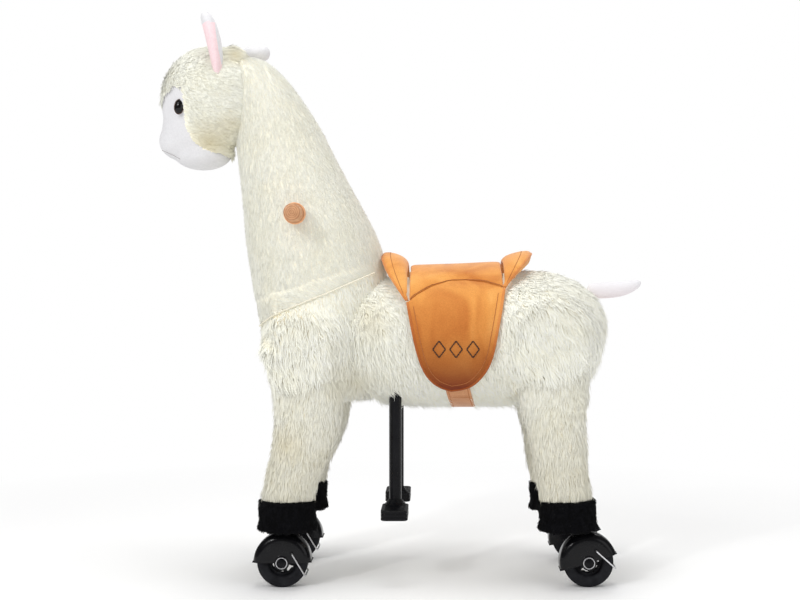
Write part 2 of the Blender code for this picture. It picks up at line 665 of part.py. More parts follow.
# Chest and neck as one form: (height share, front share, back share, half width share)
NECK_SHARES = [
    (0.00, -0.40, 0.80, 0.00), (0.01, 0.30, 1.10, 0.50), (0.06, 0.52, 1.30, 0.80), (0.20, 0.66, 1.30, 0.98),
    (0.30, 0.77, 1.30, 1.00), (0.37, 0.82, 1.28, 1.00), (0.45, 0.89, 1.20, 0.95), (0.57, 0.93, 0.86, 0.84),
    (0.69, 1.00, 0.53, 0.70), (0.78, 1.06, 0.32, 0.62), (0.86, 1.12, 0.04, 0.56), (0.92, 1.17, -0.18, 0.48),
    (0.97, 1.18, -0.45, 0.36), (1.00, 0.80, -0.80, 0.00)]


# The zipped seam's front and rear ends: (share of the reach from the column, share of the neck's height)
ZIP_SHARES = [(0.67, 0.23), (0.89, 0.375)]


def neck_form(name, grow=(0.0, 0.0)):
    stations = []
    for share, front, back, wide in NECK_SHARES:
        fore = STEER_X - NECK_FRONT * front
        aft = STEER_X + NECK_FRONT * back
        stations.append(((fore + aft) / 2, along(neck_base, CROWN_HEIGHT, share), (aft - fore) / 2,
                         NECK_WIDTH / 2 * wide))
    return swollen(name, stations, grow=grow, level_rings=True)


def ball(name, centre, size, grow=0.0, around=16):
    bm = bmesh.new()
    bmesh.ops.create_uvsphere(bm, u_segments=around, v_segments=around * 2 // 3, radius=1.0)
    bmesh.ops.scale(bm, vec=Vector(size) / 2 + Vector((grow, grow, grow)), verts=bm.verts)
    bmesh.ops.translate(bm, vec=centre, verts=bm.verts)
    return from_bmesh(name, bm)


# Ear roots and eyes from the head's middle, as shares of its length, width and height
EAR_PLACE_SHARES = (0.10, 0.36, 0.13)
EYE_PLACE_SHARES = (-0.245, -0.115)

head_centre = Vector((HEAD_CENTRE_X, 0, CROWN_HEIGHT - HEAD_DROP))
head_size = (HEAD_LENGTH, HEAD_WIDTH, HEAD_HEIGHT)
muzzle_centre = head_centre + Vector((-MUZZLE_SETFORWARD, 0, -MUZZLE_DROP))
muzzle_size = (MUZZLE_LENGTH, MUZZLE_WIDTH, MUZZLE_HEIGHT)


def keep_above(obj, name, front, back, above=True):
    """Trim a form at the slanted seam through two (x, z) places, keeping what lies above or below it."""
    slope = atan2(back[1] - front[1], back[0] - front[0])
    low, high = (-CROWN_HEIGHT, 0.0) if above else (0.0, CROWN_HEIGHT)
    trim = box(name, (-CROWN_HEIGHT, -far, low), (CROWN_HEIGHT, far, high))
    trim.data.transform(Matrix.Translation((front[0], 0, front[1])) @ Matrix.Rotation(-slope, 4, "Y"))
    return cut(obj, trim)


pocket_radius = LEG_THICKNESS / 2 + POCKET_CLEARANCE
rear_pocket_radius = REAR_LEG_THICKNESS / 2 + POCKET_CLEARANCE
pocket_side = TRACK_HALF - LEG_WIDTH / 2 - PLUSH_GAP


def pocket_cutters(name, x, z, radius, fore, aft):
    """Room for a round-topped leg to swing on each side of the middle: an arch that is open below."""
    arch = [(x + radius * cos(pi * step / SHELL_STEPS), z + radius * sin(pi * step / SHELL_STEPS))
            for step in range(SHELL_STEPS + 1)]
    shelf = z - POCKET_CLEARANCE
    outline = [(aft, -far), (aft, shelf), (x + radius, shelf)] + arch + [(x - radius, shelf), (fore, shelf),
                                                                         (fore, -far)]
    return [prism(f"{name}_{sign}", outline, sign * pocket_side, sign * far) for sign in (-1, 1)]


def build_front_plush():
    """Neck and chest: one form inside the turning circle, split at the zip and cleared for the frame."""
    (fore_share, fore_height_share), (aft_share, aft_height_share) = ZIP_SHARES
    seam_front = (STEER_X - NECK_FRONT * fore_share, along(neck_base, CROWN_HEIGHT, fore_height_share))
    seam_back = (STEER_X + TURN_RADIUS * aft_share, along(neck_base, CROWN_HEIGHT, aft_height_share))
    for name, above in (("neck_plush", True), ("chest_plush", False)):
        form = neck_form(name)
        combine(form, rod(f"{name}_circle", (STEER_X, 0, 0), (STEER_X, 0, CROWN_HEIGHT + far), TURN_RADIUS,
                          sides=48), "INTERSECT")
        shift = GAP if above else 0.0
        keep_above(form, f"{name}_seam", (seam_front[0], seam_front[1] + shift),
                   (seam_back[0], seam_back[1] + shift), above)
        cut(form, rod(f"{name}_tube_space", (STEER_X, 0, fork_top - FORK_PLATE),
                      (STEER_X, 0, head_tube_top + PLUSH_GAP), head_tube_radius + PLUSH_GAP))
        slot = SPINE_SIZE / 2 + TURN_RADIUS * sin(STEER_LIMIT) + PLUSH_CLEARANCE
        cut(form, box(f"{name}_spine_slot", (STEER_X, -slot, spine_bottom - PLUSH_CLEARANCE),
                      (STEER_X + far, slot, spine_top + PLUSH_CLEARANCE)))
        for tool in pocket_cutters(f"{name}_pocket", STEER_X, SHOULDER_HEIGHT, pocket_radius, STEER_X - far,
                                   STEER_X + LEG_REAR_REACH):
            cut(form, tool)
        if above:
            cut(form, rod("neck_post_space", (STEER_X, 0, head_tube_top), (STEER_X, 0, column_top + GAP),
                          NECK_POST_RADIUS + GAP, sides=20))
            cut(form, rod("neck_bar_space", (STEER_X, -far, HANDLE_HEIGHT), (STEER_X, far, HANDLE_HEIGHT),
                          HANDLE_RADIUS + GAP))
            for sign in (-1, 1):
                cut(form, rod(f"neck_collar_space_{sign}", (STEER_X, sign * (collar_start - GAP), HANDLE_HEIGHT),
                              (STEER_X, sign * far, HANDLE_HEIGHT), COLLAR_RADIUS + GAP))
        cut(form, rod(f"{name}_cross_space", (STEER_X, -far, SHOULDER_HEIGHT),
                      (STEER_X, far, SHOULDER_HEIGHT), TUBE_RADIUS + PLUSH_GAP))
        inner = FORK_HALF_WIDTH + PLUSH_GAP
        cut(form, box(f"{name}_fork_space", (STEER_X - FORK_HALF_LENGTH - PLUSH_CLEARANCE, -inner,
                                             CROSSBAR_HEIGHT - LINK_EYE - PLUSH_GAP),
                      (STEER_X + LEG_REAR_REACH, inner, fork_top + PLUSH_GAP)))
        link_room = LINK_EYE + TURN_RADIUS * sin(STEER_LIMIT)
        cut(form, box(f"{name}_link_space", (STEER_X + LEG_REAR_REACH - OVERRUN, -link_room, 0),
                      (STEER_X + far, link_room, SHOULDER_HEIGHT + LINK_EYE)))
        keep(form, steering, CREAM)


def build_body():
    body = body_form("body_plush")
    circle_top = BACK_HEIGHT + far
    cut(body, rod("turn_circle", (STEER_X, 0, 0), (STEER_X, 0, circle_top), TURN_RADIUS + PLUSH_GAP / 2,
                  sides=48))
    cut(body, rod("leg_circle", (STEER_X, 0, 0), (STEER_X, 0, SHOULDER_HEIGHT + pocket_radius + PLUSH_GAP),
                  LEG_TURN_RADIUS, sides=48))
    swing = (HIP_HEIGHT - BELLY_HEIGHT) * sin(LEG_SWING)
    for tool in pocket_cutters("hip_pocket", HIP_X, HIP_HEIGHT, rear_pocket_radius,
                               HIP_X - rear_pocket_radius - swing, HIP_X + far):
        cut(body, tool)
    post_room = POST_SPREAD + POST_RADIUS + PLUSH_CLEARANCE
    pedal_end = PEDAL_X + POST_RADIUS + OVERRUN
    crossbar_low = CROSSBAR_HEIGHT - LINK_EYE - PLUSH_GAP
    room_top = CROSSBAR_HEIGHT + SLEEVE_LENGTH * SLEEVE_ROOM_SHARE
    cut(body, box("pedal_room", (STEER_X, -post_room, crossbar_low), (pedal_end, post_room, room_top)))
    slot_half = LINK_EYE + PLUSH_GAP
    slot_side = post_room - PLUSH_GAP
    cut(body, box("post_slot", (PEDAL_X - slot_half, -slot_side, 0),
                  (PEDAL_X + slot_half, slot_side, CROSSBAR_HEIGHT)))
    link_half = LINK_THICKNESS + GAP + PLUSH_GAP
    # The rear link's lower edge when the pedals are down sets how far its slot runs back
    pressed = CROSSBAR_HEIGHT - PEDAL_DROP
    slope = atan2(HIP_HEIGHT - LEVER_DROP - pressed, HIP_X - PEDAL_X)
    edge = pressed - LINK_EYE / cos(slope)
    relief_low = BELLY_HEIGHT + PLUSH_CLEARANCE + PLUSH_GAP
    slot_end = PEDAL_X + (relief_low - edge) / tan(slope) + PLUSH_CLEARANCE
    relief_end = PEDAL_X + (crossbar_low + PLUSH_GAP - edge) / tan(slope) + PLUSH_CLEARANCE
    cut(body, box("link_slot", (STEER_X, -link_half, 0), (slot_end, link_half, CROSSBAR_HEIGHT)))
    cut(body, box("link_relief", (PEDAL_X, -link_half * 2, relief_low),
                  (relief_end, link_half * 2, CROSSBAR_HEIGHT)))
    guide_room = GUIDE_SPREAD + SLEEVE_RADIUS + PLUSH_CLEARANCE
    cut(body, box("guide_room", (STEER_X, -guide_room, CROSSBAR_HEIGHT),
                  (pedal_end - PLUSH_GAP, guide_room, spine_top + GAP)))
    inner = FORK_HALF_WIDTH + PLUSH_GAP
    cut(body, box("frame_room", (STEER_X, -inner, crossbar_low + PLUSH_GAP),
                  (HIP_X + FORK_HALF_LENGTH + PLUSH_GAP, inner, spine_top + GAP * 2)))
    cut(body, rod("hip_cross_space", (HIP_X, -far, HIP_HEIGHT), (HIP_X, far, HIP_HEIGHT),
                  TUBE_RADIUS + PLUSH_GAP))
    cut(body, box("board_recess", (SADDLE_START - GAP, -BOARD_HALF_WIDTH - GAP, spine_top),
                  (SADDLE_END + GAP, BOARD_HALF_WIDTH + GAP, BACK_HEIGHT + far)))
    keep(body, frame, CREAM)

    # Tail: (place along it, height share of its thickness, half thickness share, half width share)
    tail_start = body_end - TAIL_THICKNESS
    tail_height = along(BELLY_HEIGHT, BACK_HEIGHT, TAIL_HEIGHT_SHARE)
    tail_shares = [(0.00, 0.00, 0.00, 0.00), (0.06, 0.00, 0.50, 0.45), (0.25, 0.00, 0.56, 0.48),
                   (0.50, 0.03, 0.54, 0.48), (0.72, 0.14, 0.48, 0.44), (0.92, 0.42, 0.33, 0.30),
                   (1.00, 0.60, 0.00, 0.00)]
    tail = swollen("tail", [(tail_start + TAIL_LENGTH * place, tail_height + TAIL_THICKNESS * rise,
                             TAIL_THICKNESS * thick, TAIL_THICKNESS * wide)
                            for place, rise, thick, wide in tail_shares], sides=SMALL_SIDES)
    cut(tail, body_form("tail_root", (GAP, GAP)))
    keep(tail, frame, WHITE)


saddle_length = SADDLE_END - SADDLE_START
skirt_height = seam_height - skirt_hem

# The seam between seat and skirt: (share of the saddle's length, share of the skirt's height above the hem)
SEAM_SHARES = [
    (0.00, 0.92), (0.10, 1.00), (0.24, 1.08), (0.42, 1.14), (0.60, 1.15), (0.80, 1.13), (1.00, 1.07)]
HEM_SHARES = [
    (0.95, 0.80), (0.90, 0.55), (0.87, 0.38), (0.81, 0.22), (0.70, 0.08), (0.60, 0.02), (0.45, 0.00),
    (0.32, 0.04), (0.21, 0.14), (0.13, 0.30), (0.06, 0.60)]


def saddle_place(across, up):
    return SADDLE_START + saddle_length * across, skirt_hem + skirt_height * up


def fitted(name, pad, outline, side_from, side_to, hollow=(GAP, GAP)):
    """A saddle piece: the body's form grown by its padding, within an outline, less the body's own form."""
    piece = body_form(name, pad)
    combine(piece, prism(f"{name}_outline", outline, side_from, side_to), "INTERSECT")
    cut(piece, body_form(f"{name}_inside", hollow))
    return piece


def build_saddle():
    seam = [saddle_place(*share) for share in SEAM_SHARES]
    top = BACK_HEIGHT + far
    board = (SADDLE_START - GAP * 2, -BOARD_HALF_WIDTH - GAP * 2, spine_top)
    board_end = (SADDLE_END + GAP * 2, BOARD_HALF_WIDTH + GAP * 2, board_top + GAP)
    seat_outline = seam + [(SADDLE_END, top), (SADDLE_START, top)]
    seat = fitted("saddle_seat", (SEAT_PAD, SKIRT_PAD * 2), seat_outline, -far, far)
    cut(seat, box("seat_board_space", board, board_end))
    keep(seat, frame, SUEDE)
    lowered = [(across, up - GAP * 2) for across, up in seam]
    skirt = lowered + [saddle_place(*share) for share in HEM_SHARES]
    for side_name, sign in (("left", -1), ("right", 1)):
        keep(fitted(f"saddle_skirt_{side_name}", (SKIRT_PAD, SKIRT_PAD), skirt, 0.0, sign * far), frame, SUEDE)

    # Pommel and cantle: shares of the pommel's length and of its rise above the seam's start
    pommel_start = STEER_X + TURN_RADIUS + PLUSH_GAP
    pommel_shares = [(1.00, 0.00), (1.00, 0.70), (0.80, 0.80), (0.42, 0.94), (0.00, 1.00), (0.00, 0.74),
                     (0.08, 0.54), (0.52, 0.26)]
    low = seam_height - GAP
    pommel = fitted("saddle_pommel", (pommel_top - BACK_HEIGHT, SKIRT_PAD * 2),
                    [(along(pommel_start, SADDLE_START - GAP * 2, across), along(low, pommel_top, up))
                     for across, up in pommel_shares], -far, far)
    cut(pommel, rod("pommel_turn", (STEER_X, 0, 0), (STEER_X, 0, top), TURN_RADIUS + PLUSH_GAP, sides=48))
    keep(pommel, frame, SUEDE)
    cantle_shares = [(0.00, 0.00), (0.55, 0.45), (0.84, 0.72), (0.99, 0.90), (0.85, 1.00), (0.43, 0.95),
                     (0.15, 0.84), (0.00, 0.70)]
    cantle = fitted("saddle_cantle", (cantle_top - BACK_HEIGHT, SKIRT_PAD * 2),
                    [(SADDLE_END + GAP * 2 + CANTLE_LENGTH * across, along(low, cantle_top, up))
                     for across, up in cantle_shares], -far, far)
    keep(cantle, frame, SUEDE)
    strap_start = SADDLE_START + saddle_length * GIRTH_PLACE_SHARE
    strap_top = skirt_hem - GAP * 4
    strap_end = strap_start + GIRTH_WIDTH
    strap_outline = [(strap_start, 0.0), (strap_end, 0.0), (strap_end, strap_top), (strap_start, strap_top)]
    strap = fitted("girth_strap", (GIRTH_THICKNESS, GIRTH_THICKNESS), strap_outline, -far, far)
    keep(strap, frame, SUEDE)


def build_head():
    head = ball("head_plush", head_centre, head_size)
    cut(head, neck_form("head_neck", (PLUSH_GAP, PLUSH_GAP)))
    keep(head, steering, CREAM)
    face = ball("face_plush", muzzle_centre, muzzle_size, around=18)
    cut(face, ball("face_head", head_centre, head_size, GAP), neck_form("face_neck", (PLUSH_GAP, PLUSH_GAP)))
    keep(face, steering, WHITE)

    # Ears: (share of the ear's length, bend back share, half thickness share, half width share)
    ear_shares = [(0.00, 0.00, 0.00, 0.00), (0.05, 0.01, 0.55, 0.55), (0.30, 0.02, 0.55, 0.90),
                  (0.60, 0.00, 0.50, 1.00), (0.85, -0.03, 0.42, 0.72), (0.97, -0.06, 0.25, 0.35),
                  (1.00, -0.07, 0.00, 0.00)]
    ear_x_share, ear_y_share, ear_z_share = EAR_PLACE_SHARES
    ear_base = head_centre + Vector((HEAD_LENGTH * ear_x_share, 0, HEAD_HEIGHT * ear_z_share))
    for side_name, sign, lean in (("left", -1, EAR_LEANS[0]), ("right", 1, EAR_LEANS[1])):
        stations = []
        for share, bend, thick, wide in ear_shares:
            across, up = turn_xz(EAR_LENGTH * bend, EAR_LENGTH * share, lean)
            stations.append((ear_base.x + across, ear_base.z + up, EAR_PAD / 2 * thick, EAR_WIDTH / 2 * wide))
        ear = swollen(f"ear_{side_name}", stations, side=sign * HEAD_WIDTH * ear_y_share, sides=SMALL_SIDES)
        cut(ear, ball(f"ear_head_{sign}", head_centre, head_size, GAP),
            neck_form(f"ear_neck_{sign}", (PLUSH_GAP, PLUSH_GAP)))
        keep(ear, steering, WHITE)

        eye_across, eye_up = HEAD_LENGTH * EYE_PLACE_SHARES[0], HEAD_HEIGHT * EYE_PLACE_SHARES[1]
        bulge = 1 - (2 * eye_across / HEAD_LENGTH) ** 2 - (2 * eye_up / HEAD_HEIGHT) ** 2
        place = head_centre + Vector((eye_across, sign * HEAD_WIDTH / 2 * bulge ** 0.5, eye_up))
        eye = ball(f"eye_{side_name}", place, (EYE_LENGTH, EYE_DEPTH, EYE_HEIGHT), around=12)
        cut(eye, ball(f"eye_head_{sign}", head_centre, head_size, GAP))
        keep(eye, steering, EYE)


def build_handle():
    """One turned wooden bar through the neck, with a raised ring near each end."""
    round_off = HANDLE_RADIUS / 5
    bevel = COLLAR_LENGTH / 4
    outer = collar_start + COLLAR_LENGTH
    inner = collar_start
    half_bar = [(0, HANDLE_REACH), (HANDLE_RADIUS - round_off, HANDLE_REACH),
                (HANDLE_RADIUS, HANDLE_REACH - round_off), (HANDLE_RADIUS, outer),
                (COLLAR_RADIUS, outer - bevel), (COLLAR_RADIUS, inner + bevel), (HANDLE_RADIUS, inner)]
    bar = turned("handlebar", half_bar + [(radius, -offset) for radius, offset in reversed(half_bar)],
                 (STEER_X, 0, HANDLE_HEIGHT), ring=False)
    keep(bar, steering, WOOD)


# Legs, top to foot: (height share from foot to pivot, backward share, half thickness share, half width share)
FRONT_LEG_SHARES = [
    (1.245, 0.00, 0.00, 0.00), (1.19, 0.00, 0.62, 0.72), (1.00, 0.00, 1.00, 1.00), (0.79, 0.10, 1.02, 1.00),
    (0.65, 0.17, 1.03, 1.00), (0.39, 0.14, 0.96, 0.95), (0.19, -0.03, 0.82, 0.92), (0.01, -0.11, 0.80, 0.95),
    (-0.05, -0.12, 0.78, 0.93), (-0.10, -0.12, 0.00, 0.00)]
REAR_LEG_SHARES = [
    (1.27, 0.00, 0.00, 0.00), (1.20, 0.00, 0.68, 0.75), (1.00, 0.00, 1.00, 1.00), (0.73, 0.11, 0.95, 1.00),
    (0.55, 0.10, 0.82, 1.00), (0.36, 0.17, 0.72, 0.95), (0.17, 0.19, 0.69, 0.92), (0.02, 0.25, 0.68, 0.95),
    (-0.05, 0.26, 0.67, 0.93), (-0.10, 0.26, 0.00, 0.00)]


def leg_stations(shares, pivot_x, pivot_z, thickness):
    return [(pivot_x + thickness * back, along(LEG_FOOT_HEIGHT, pivot_z, up), thickness / 2 * thick,
             LEG_WIDTH / 2 * wide) for up, back, thick, wide in shares]


build_spine()
build_column()
build_cross_tube("front_cross_tube", STEER_X, SHOULDER_HEIGHT, front_legs)
build_cross_tube("rear_cross_tube", HIP_X, HIP_HEIGHT, rear_legs)
build_pedals()
link_offset = LINK_THICKNESS / 2 + GAP
build_link("front_link_bar", STEER_X, SHOULDER_HEIGHT - LEVER_DROP, -link_offset, front_link)
build_link("rear_link_bar", HIP_X, HIP_HEIGHT - LEVER_DROP, link_offset, rear_link)
build_front_plush()
build_body()
build_saddle()
build_head()
build_handle()
leg_frame("front", STEER_X, SHOULDER_HEIGHT, FRONT_AXLE_X, 0.0,
          leg_stations(FRONT_LEG_SHARES, STEER_X, SHOULDER_HEIGHT, LEG_THICKNESS), front_legs)
leg_frame("rear", HIP_X, HIP_HEIGHT, REAR_AXLE_X, REAR_HOOD_TILT,
          leg_stations(REAR_LEG_SHARES, HIP_X, HIP_HEIGHT, REAR_LEG_THICKNESS), rear_legs)
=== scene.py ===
# %% [markdown]
# The walking ride-on alpaca, dressed over its frame. The frame's steel tubes, bolts and wires arrive ready made, so
# this script loads them first, before anything is added. Every later piece sits on a place that is read from this
# frame, so a hoof or a handle lands exactly where the frame carries it.

# %% load the frame
import json
from math import atan2, cos, pi, radians, sin

import bmesh
import bpy
import numpy as np
from mathutils import Matrix, Vector
from mathutils.bvhtree import BVHTree
from mathutils.kdtree import KDTree

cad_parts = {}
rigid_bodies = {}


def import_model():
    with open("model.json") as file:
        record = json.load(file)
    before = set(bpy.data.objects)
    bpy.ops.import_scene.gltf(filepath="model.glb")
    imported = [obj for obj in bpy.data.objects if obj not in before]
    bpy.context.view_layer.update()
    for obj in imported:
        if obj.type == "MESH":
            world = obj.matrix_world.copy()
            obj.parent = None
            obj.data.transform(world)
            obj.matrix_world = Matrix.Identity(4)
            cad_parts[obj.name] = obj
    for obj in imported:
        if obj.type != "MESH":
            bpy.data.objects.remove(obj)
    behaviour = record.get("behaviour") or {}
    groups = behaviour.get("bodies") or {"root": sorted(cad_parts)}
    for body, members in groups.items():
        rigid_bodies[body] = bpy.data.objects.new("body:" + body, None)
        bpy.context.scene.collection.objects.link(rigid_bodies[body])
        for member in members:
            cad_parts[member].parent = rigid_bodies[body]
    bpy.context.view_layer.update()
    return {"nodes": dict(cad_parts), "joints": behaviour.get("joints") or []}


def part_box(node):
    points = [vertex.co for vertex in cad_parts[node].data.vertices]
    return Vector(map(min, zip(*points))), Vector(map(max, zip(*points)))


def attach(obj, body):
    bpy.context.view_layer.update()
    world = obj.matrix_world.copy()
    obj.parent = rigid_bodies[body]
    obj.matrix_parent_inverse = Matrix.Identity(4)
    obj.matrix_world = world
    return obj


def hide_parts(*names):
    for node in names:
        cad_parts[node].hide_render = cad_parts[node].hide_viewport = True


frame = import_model()
nodes = frame["nodes"]
joints = {joint["name"]: joint for joint in frame["joints"]}

# %% [markdown]
# The frame's pivots carry everything else: the steering axis that turns neck, head and front legs, the hip axle that
# swings the rear legs, and the four wheel axles. Reading them from the joints keeps plush and wheels on their pivots.

# %% places on the frame
STEER = Vector(joints["steering"]["pos_m"])
HIP = Vector(joints["rear_leg_swing"]["pos_m"])
SIDES = (("left", -1), ("right", 1))
ENDS = [(where, side) for where in ("front", "rear") for side in ("left", "right")]
AXLES = {(where, side): Vector(joints[f"wheel_{where}_{side}_spin"]["pos_m"]) for where, side in ENDS}
ACROSS = Vector((0, 1, 0))
WHEEL_RADIUS = AXLES["front", "left"].z
TRACK_HALF = AXLES["front", "right"].y
print("steering", tuple(STEER), "hips", tuple(HIP), "wheel radius", WHEEL_RADIUS)

# %% [markdown]
# The picture is taken level with the middle of the neck, from the animal's left side, about 1.75 m away. The lens
# shift moves the frame without turning the camera, so upright legs stay upright in the picture. The small helper puts
# any new object in the scene.

# %% camera
CAMERA_DISTANCE = 1.75
CAMERA_X, CAMERA_HEIGHT = 0.0505, 0.38
LENS_MM, SENSOR_MM = 59.2, 36.0
FRAME_SHIFT = (-0.048, -0.0175)


def in_scene(name, data):
    made = bpy.data.objects.new(name, data)
    bpy.context.scene.collection.objects.link(made)
    return made


camera_data = bpy.data.cameras.new("camera")
camera_data.lens, camera_data.sensor_width = LENS_MM, SENSOR_MM
camera_data.shift_x, camera_data.shift_y = FRAME_SHIFT
camera = in_scene("camera", camera_data)
camera.location = (CAMERA_X, -CAMERA_DISTANCE, CAMERA_HEIGHT)
camera.rotation_euler = (pi / 2, 0, 0)
bpy.context.scene.camera = camera
bpy.context.scene.view_settings.view_transform = "Standard"
print("camera", tuple(camera.location))

# %% [markdown]
# Soft light keeps cream fur from clipping to white. One broad lamp stands in front and above, a weaker one fills from
# the right, one from behind draws the outline, and one overhead sets the shadow under the belly. A big source gives the
# blurred shadow edges of a photographer's tent. A small one puts the bright dot in the eye.

# %% lamps
LAMPS = [
    ("key_lamp", (-1.5, -1.9, 1.9), 1.5, 18.5),
    ("fill_lamp", (1.9, -1.6, 1.0), 1.6, 10),
    ("rim_lamp", (0.5, 1.7, 1.7), 1.4, 11),
    ("top_lamp", (0.0, -0.1, 2.2), 0.8, 14),
    ("catch_lamp", (-1.2, -1.8, 1.5), 0.17, 9),
]
LAMP_TARGET = Vector((0, 0, 0.35))

for name, place, size, power in LAMPS:
    lamp_data = bpy.data.lights.new(name, "AREA")
    lamp_data.size, lamp_data.energy = size, power
    lamp = in_scene(name, lamp_data)
    lamp.location = place
    lamp.rotation_euler = (LAMP_TARGET - Vector(place)).to_track_quat("-Z", "Y").to_euler()
print(len(LAMPS), "lamps")

# %% [markdown]
# Materials are small node networks. One helper adds a node and sets or links its sockets, and a class on top of it
# makes a Principled shader and the few patterns that all finishes are built from.


# %% material helper
def plug(tree, made, **sockets):
    """Give a node's sockets a plain value or another node's output; _2 means the socket with number 2."""
    for key, value in sockets.items():
        socket = made.inputs[int(key[1:]) if key[1:].isdigit() else key.replace("_", " ")]
        if isinstance(value, bpy.types.NodeSocket):
            tree.links.new(value, socket)
        else:
            socket.default_value = (*value, 1) if socket.type == "RGBA" else value


def node(tree, kind, settings=None, **sockets):
    made = tree.nodes.new("ShaderNode" + kind)
    for key, value in (settings or {}).items():
        setattr(made, key, value)
    plug(tree, made, **sockets)
    return made


class Finish:
    """A material whose patterns are added one call at a time."""

    def __init__(self, name, colour, roughness, **sockets):
        self.material = bpy.data.materials.new(name)
        self.material.use_nodes = True
        self.tree = self.material.node_tree
        self.shader = self.tree.nodes["Principled BSDF"]
        plug(self.tree, self.shader, Base_Color=colour, Roughness=roughness, **sockets)
        self.place = self.add("TexCoord").outputs["Object"]

    def add(self, kind, settings=None, **sockets):
        return node(self.tree, kind, settings, **sockets)

    def stretched(self, scale, centre=(0, 0, 0)):
        """Object coordinates, moved so that centre is the middle, and scaled."""
        return self.add("Mapping", {"vector_type": "TEXTURE"}, Location=centre, Scale=[1 / value for value in scale],
                        Vector=self.place).outputs["Vector"]

    def noise(self, scale, detail=2.0, vector=None, distortion=0.0):
        return self.add("TexNoise", Scale=scale, Detail=detail, Distortion=distortion,
                        Vector=vector or self.place).outputs["Fac"]

    def spot(self, centre, reach):
        """A soft ball round a place: 1 in its middle, 0 at its reach along each axis."""
        vector = self.stretched([1 / value for value in reach], centre)
        return self.add("TexGradient", {"gradient_type": "SPHERICAL"}, _0=vector).outputs["Fac"]

    def ramp(self, value, stops):
        made = self.add("ValToRGB", Fac=value)
        band, stops = made.color_ramp, list(stops)
        while len(band.elements) < len(stops):
            band.elements.new(0.5)
        for element, (position, colour) in zip(band.elements, stops):
            element.position = position
            element.color = (*colour, 1)
        return made.outputs["Color"]

    def by_height(self, low, high, stops):
        """Colours between two heights."""
        height = self.add("SeparateXYZ", _0=self.place).outputs["Z"]
        return self.ramp(self.add("MapRange", From_Min=low, From_Max=high, Value=height).outputs["Result"], stops)

    def times(self, first, *others):
        """Several colours multiplied."""
        for second in others:
            first = self.add("Mix", {"data_type": "RGBA", "blend_type": "MULTIPLY"}, Factor=1.0, _6=first,
                             _7=second).outputs[2]
        return first

    def colour(self, socket):
        plug(self.tree, self.shader, Base_Color=socket)
        return self

    def glowing(self, socket, strength):
        """A colour that also gives off a faint light of its own."""
        plug(self.tree, self.shader, Base_Color=socket, Emission_Color=socket, Emission_Strength=strength)
        return self

    def speckled(self, scale, detail, dark, light, low=0.3, high=0.7):
        """Colour that drifts between two close shades."""
        return self.colour(self.ramp(self.noise(scale, detail), [(low, dark), (high, light)]))

    def rough(self, value, low, high):
        spread = self.add("MapRange", To_Min=low, To_Max=high, Value=value)
        plug(self.tree, self.shader, Roughness=spread.outputs["Result"])
        return self

    def bump(self, value, depth):
        """Relief, on top of any before it."""
        before = self.shader.inputs["Normal"]
        made = self.add("Bump", Strength=1.0, Distance=depth, Height=value)
        if before.links:
            plug(self.tree, made, Normal=before.links[0].from_socket)
        plug(self.tree, self.shader, Normal=made.outputs["Normal"])
        return self


print("material helper ready")

# %% [markdown]
# The floor is a wide white sheet. It keeps the soft shadow under the wheels, and fades to plain white further out, so
# that it meets the white studio behind with no horizon. Glossy rays see a dimmer room, which keeps black plastic black.

# %% floor and studio
FLOOR_SIZE = 12.0
SHADOW_REACH, FADE_REACH = 0.60, 1.15
SKY_LEVEL, GLOSS_LEVEL = 0.54, 0.15

floor_shape = bmesh.new()
bmesh.ops.create_grid(floor_shape, x_segments=1, y_segments=1, size=FLOOR_SIZE / 2)
floor_mesh = bpy.data.meshes.new("floor")
floor_shape.to_mesh(floor_mesh)
floor_shape.free()
paper = Finish("white_paper", (0.96, 0.96, 0.96), 0.9)
distance = paper.add("VectorMath", {"operation": "LENGTH"}, _0=paper.place)
fade = paper.add("MapRange", From_Min=SHADOW_REACH, From_Max=FADE_REACH, Value=distance.outputs["Value"])
blend_out = paper.add("MixShader", _0=fade.outputs["Result"], _1=paper.shader.outputs[0],
                      _2=paper.add("Emission").outputs[0])
plug(paper.tree, paper.tree.nodes["Material Output"], Surface=blend_out.outputs[0])
floor_mesh.materials.append(paper.material)
floor = in_scene("floor", floor_mesh)

world = bpy.data.worlds.new("studio")
world.use_nodes = True
bpy.context.scene.world = world
sky = world.node_tree
rays = node(sky, "LightPath").outputs
seen = node(sky, "Math", {"operation": "MAXIMUM"}, _0=rays["Is Camera Ray"], _1=rays["Is Transmission Ray"])
level = node(sky, "MapRange", To_Min=SKY_LEVEL, To_Max=1.0, Value=seen.outputs[0])
dimmed = node(sky, "Mix", _0=rays["Is Glossy Ray"], _2=level.outputs["Result"], _3=GLOSS_LEVEL)
plug(sky, sky.nodes["Background"], Color=(1, 1, 1), Strength=dimmed.outputs[0])
print("floor fades between", SHADOW_REACH, "and", FADE_REACH, "m")

# %% [markdown]
# Every new piece goes through one helper. It turns a finished bmesh into an object, lets it ride on one body of the
# frame, names the finish that it takes, and hides the plain solid that it stands for.


# %% piece helper
def as_mesh(shape, name="bench"):
    """A bmesh as a mesh. The bmesh is used up."""
    mesh = bpy.data.meshes.new(name)
    shape.to_mesh(mesh)
    shape.free()
    return mesh


def piece(name, shape, finish, body, replaces=(), sharp=40):
    mesh = shape
    if isinstance(shape, bmesh.types.BMesh):
        mesh = as_mesh(shape)
        mesh.shade_smooth()
        mesh.set_sharp_from_angle(angle=radians(sharp))
    mesh.name = name
    for one in finish if isinstance(finish, list) else [finish]:
        mesh.materials.append(one.material)
    made = in_scene(name, mesh)
    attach(made, body)
    if replaces:
        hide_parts(*replaces)
    print(name, len(mesh.polygons), "faces")


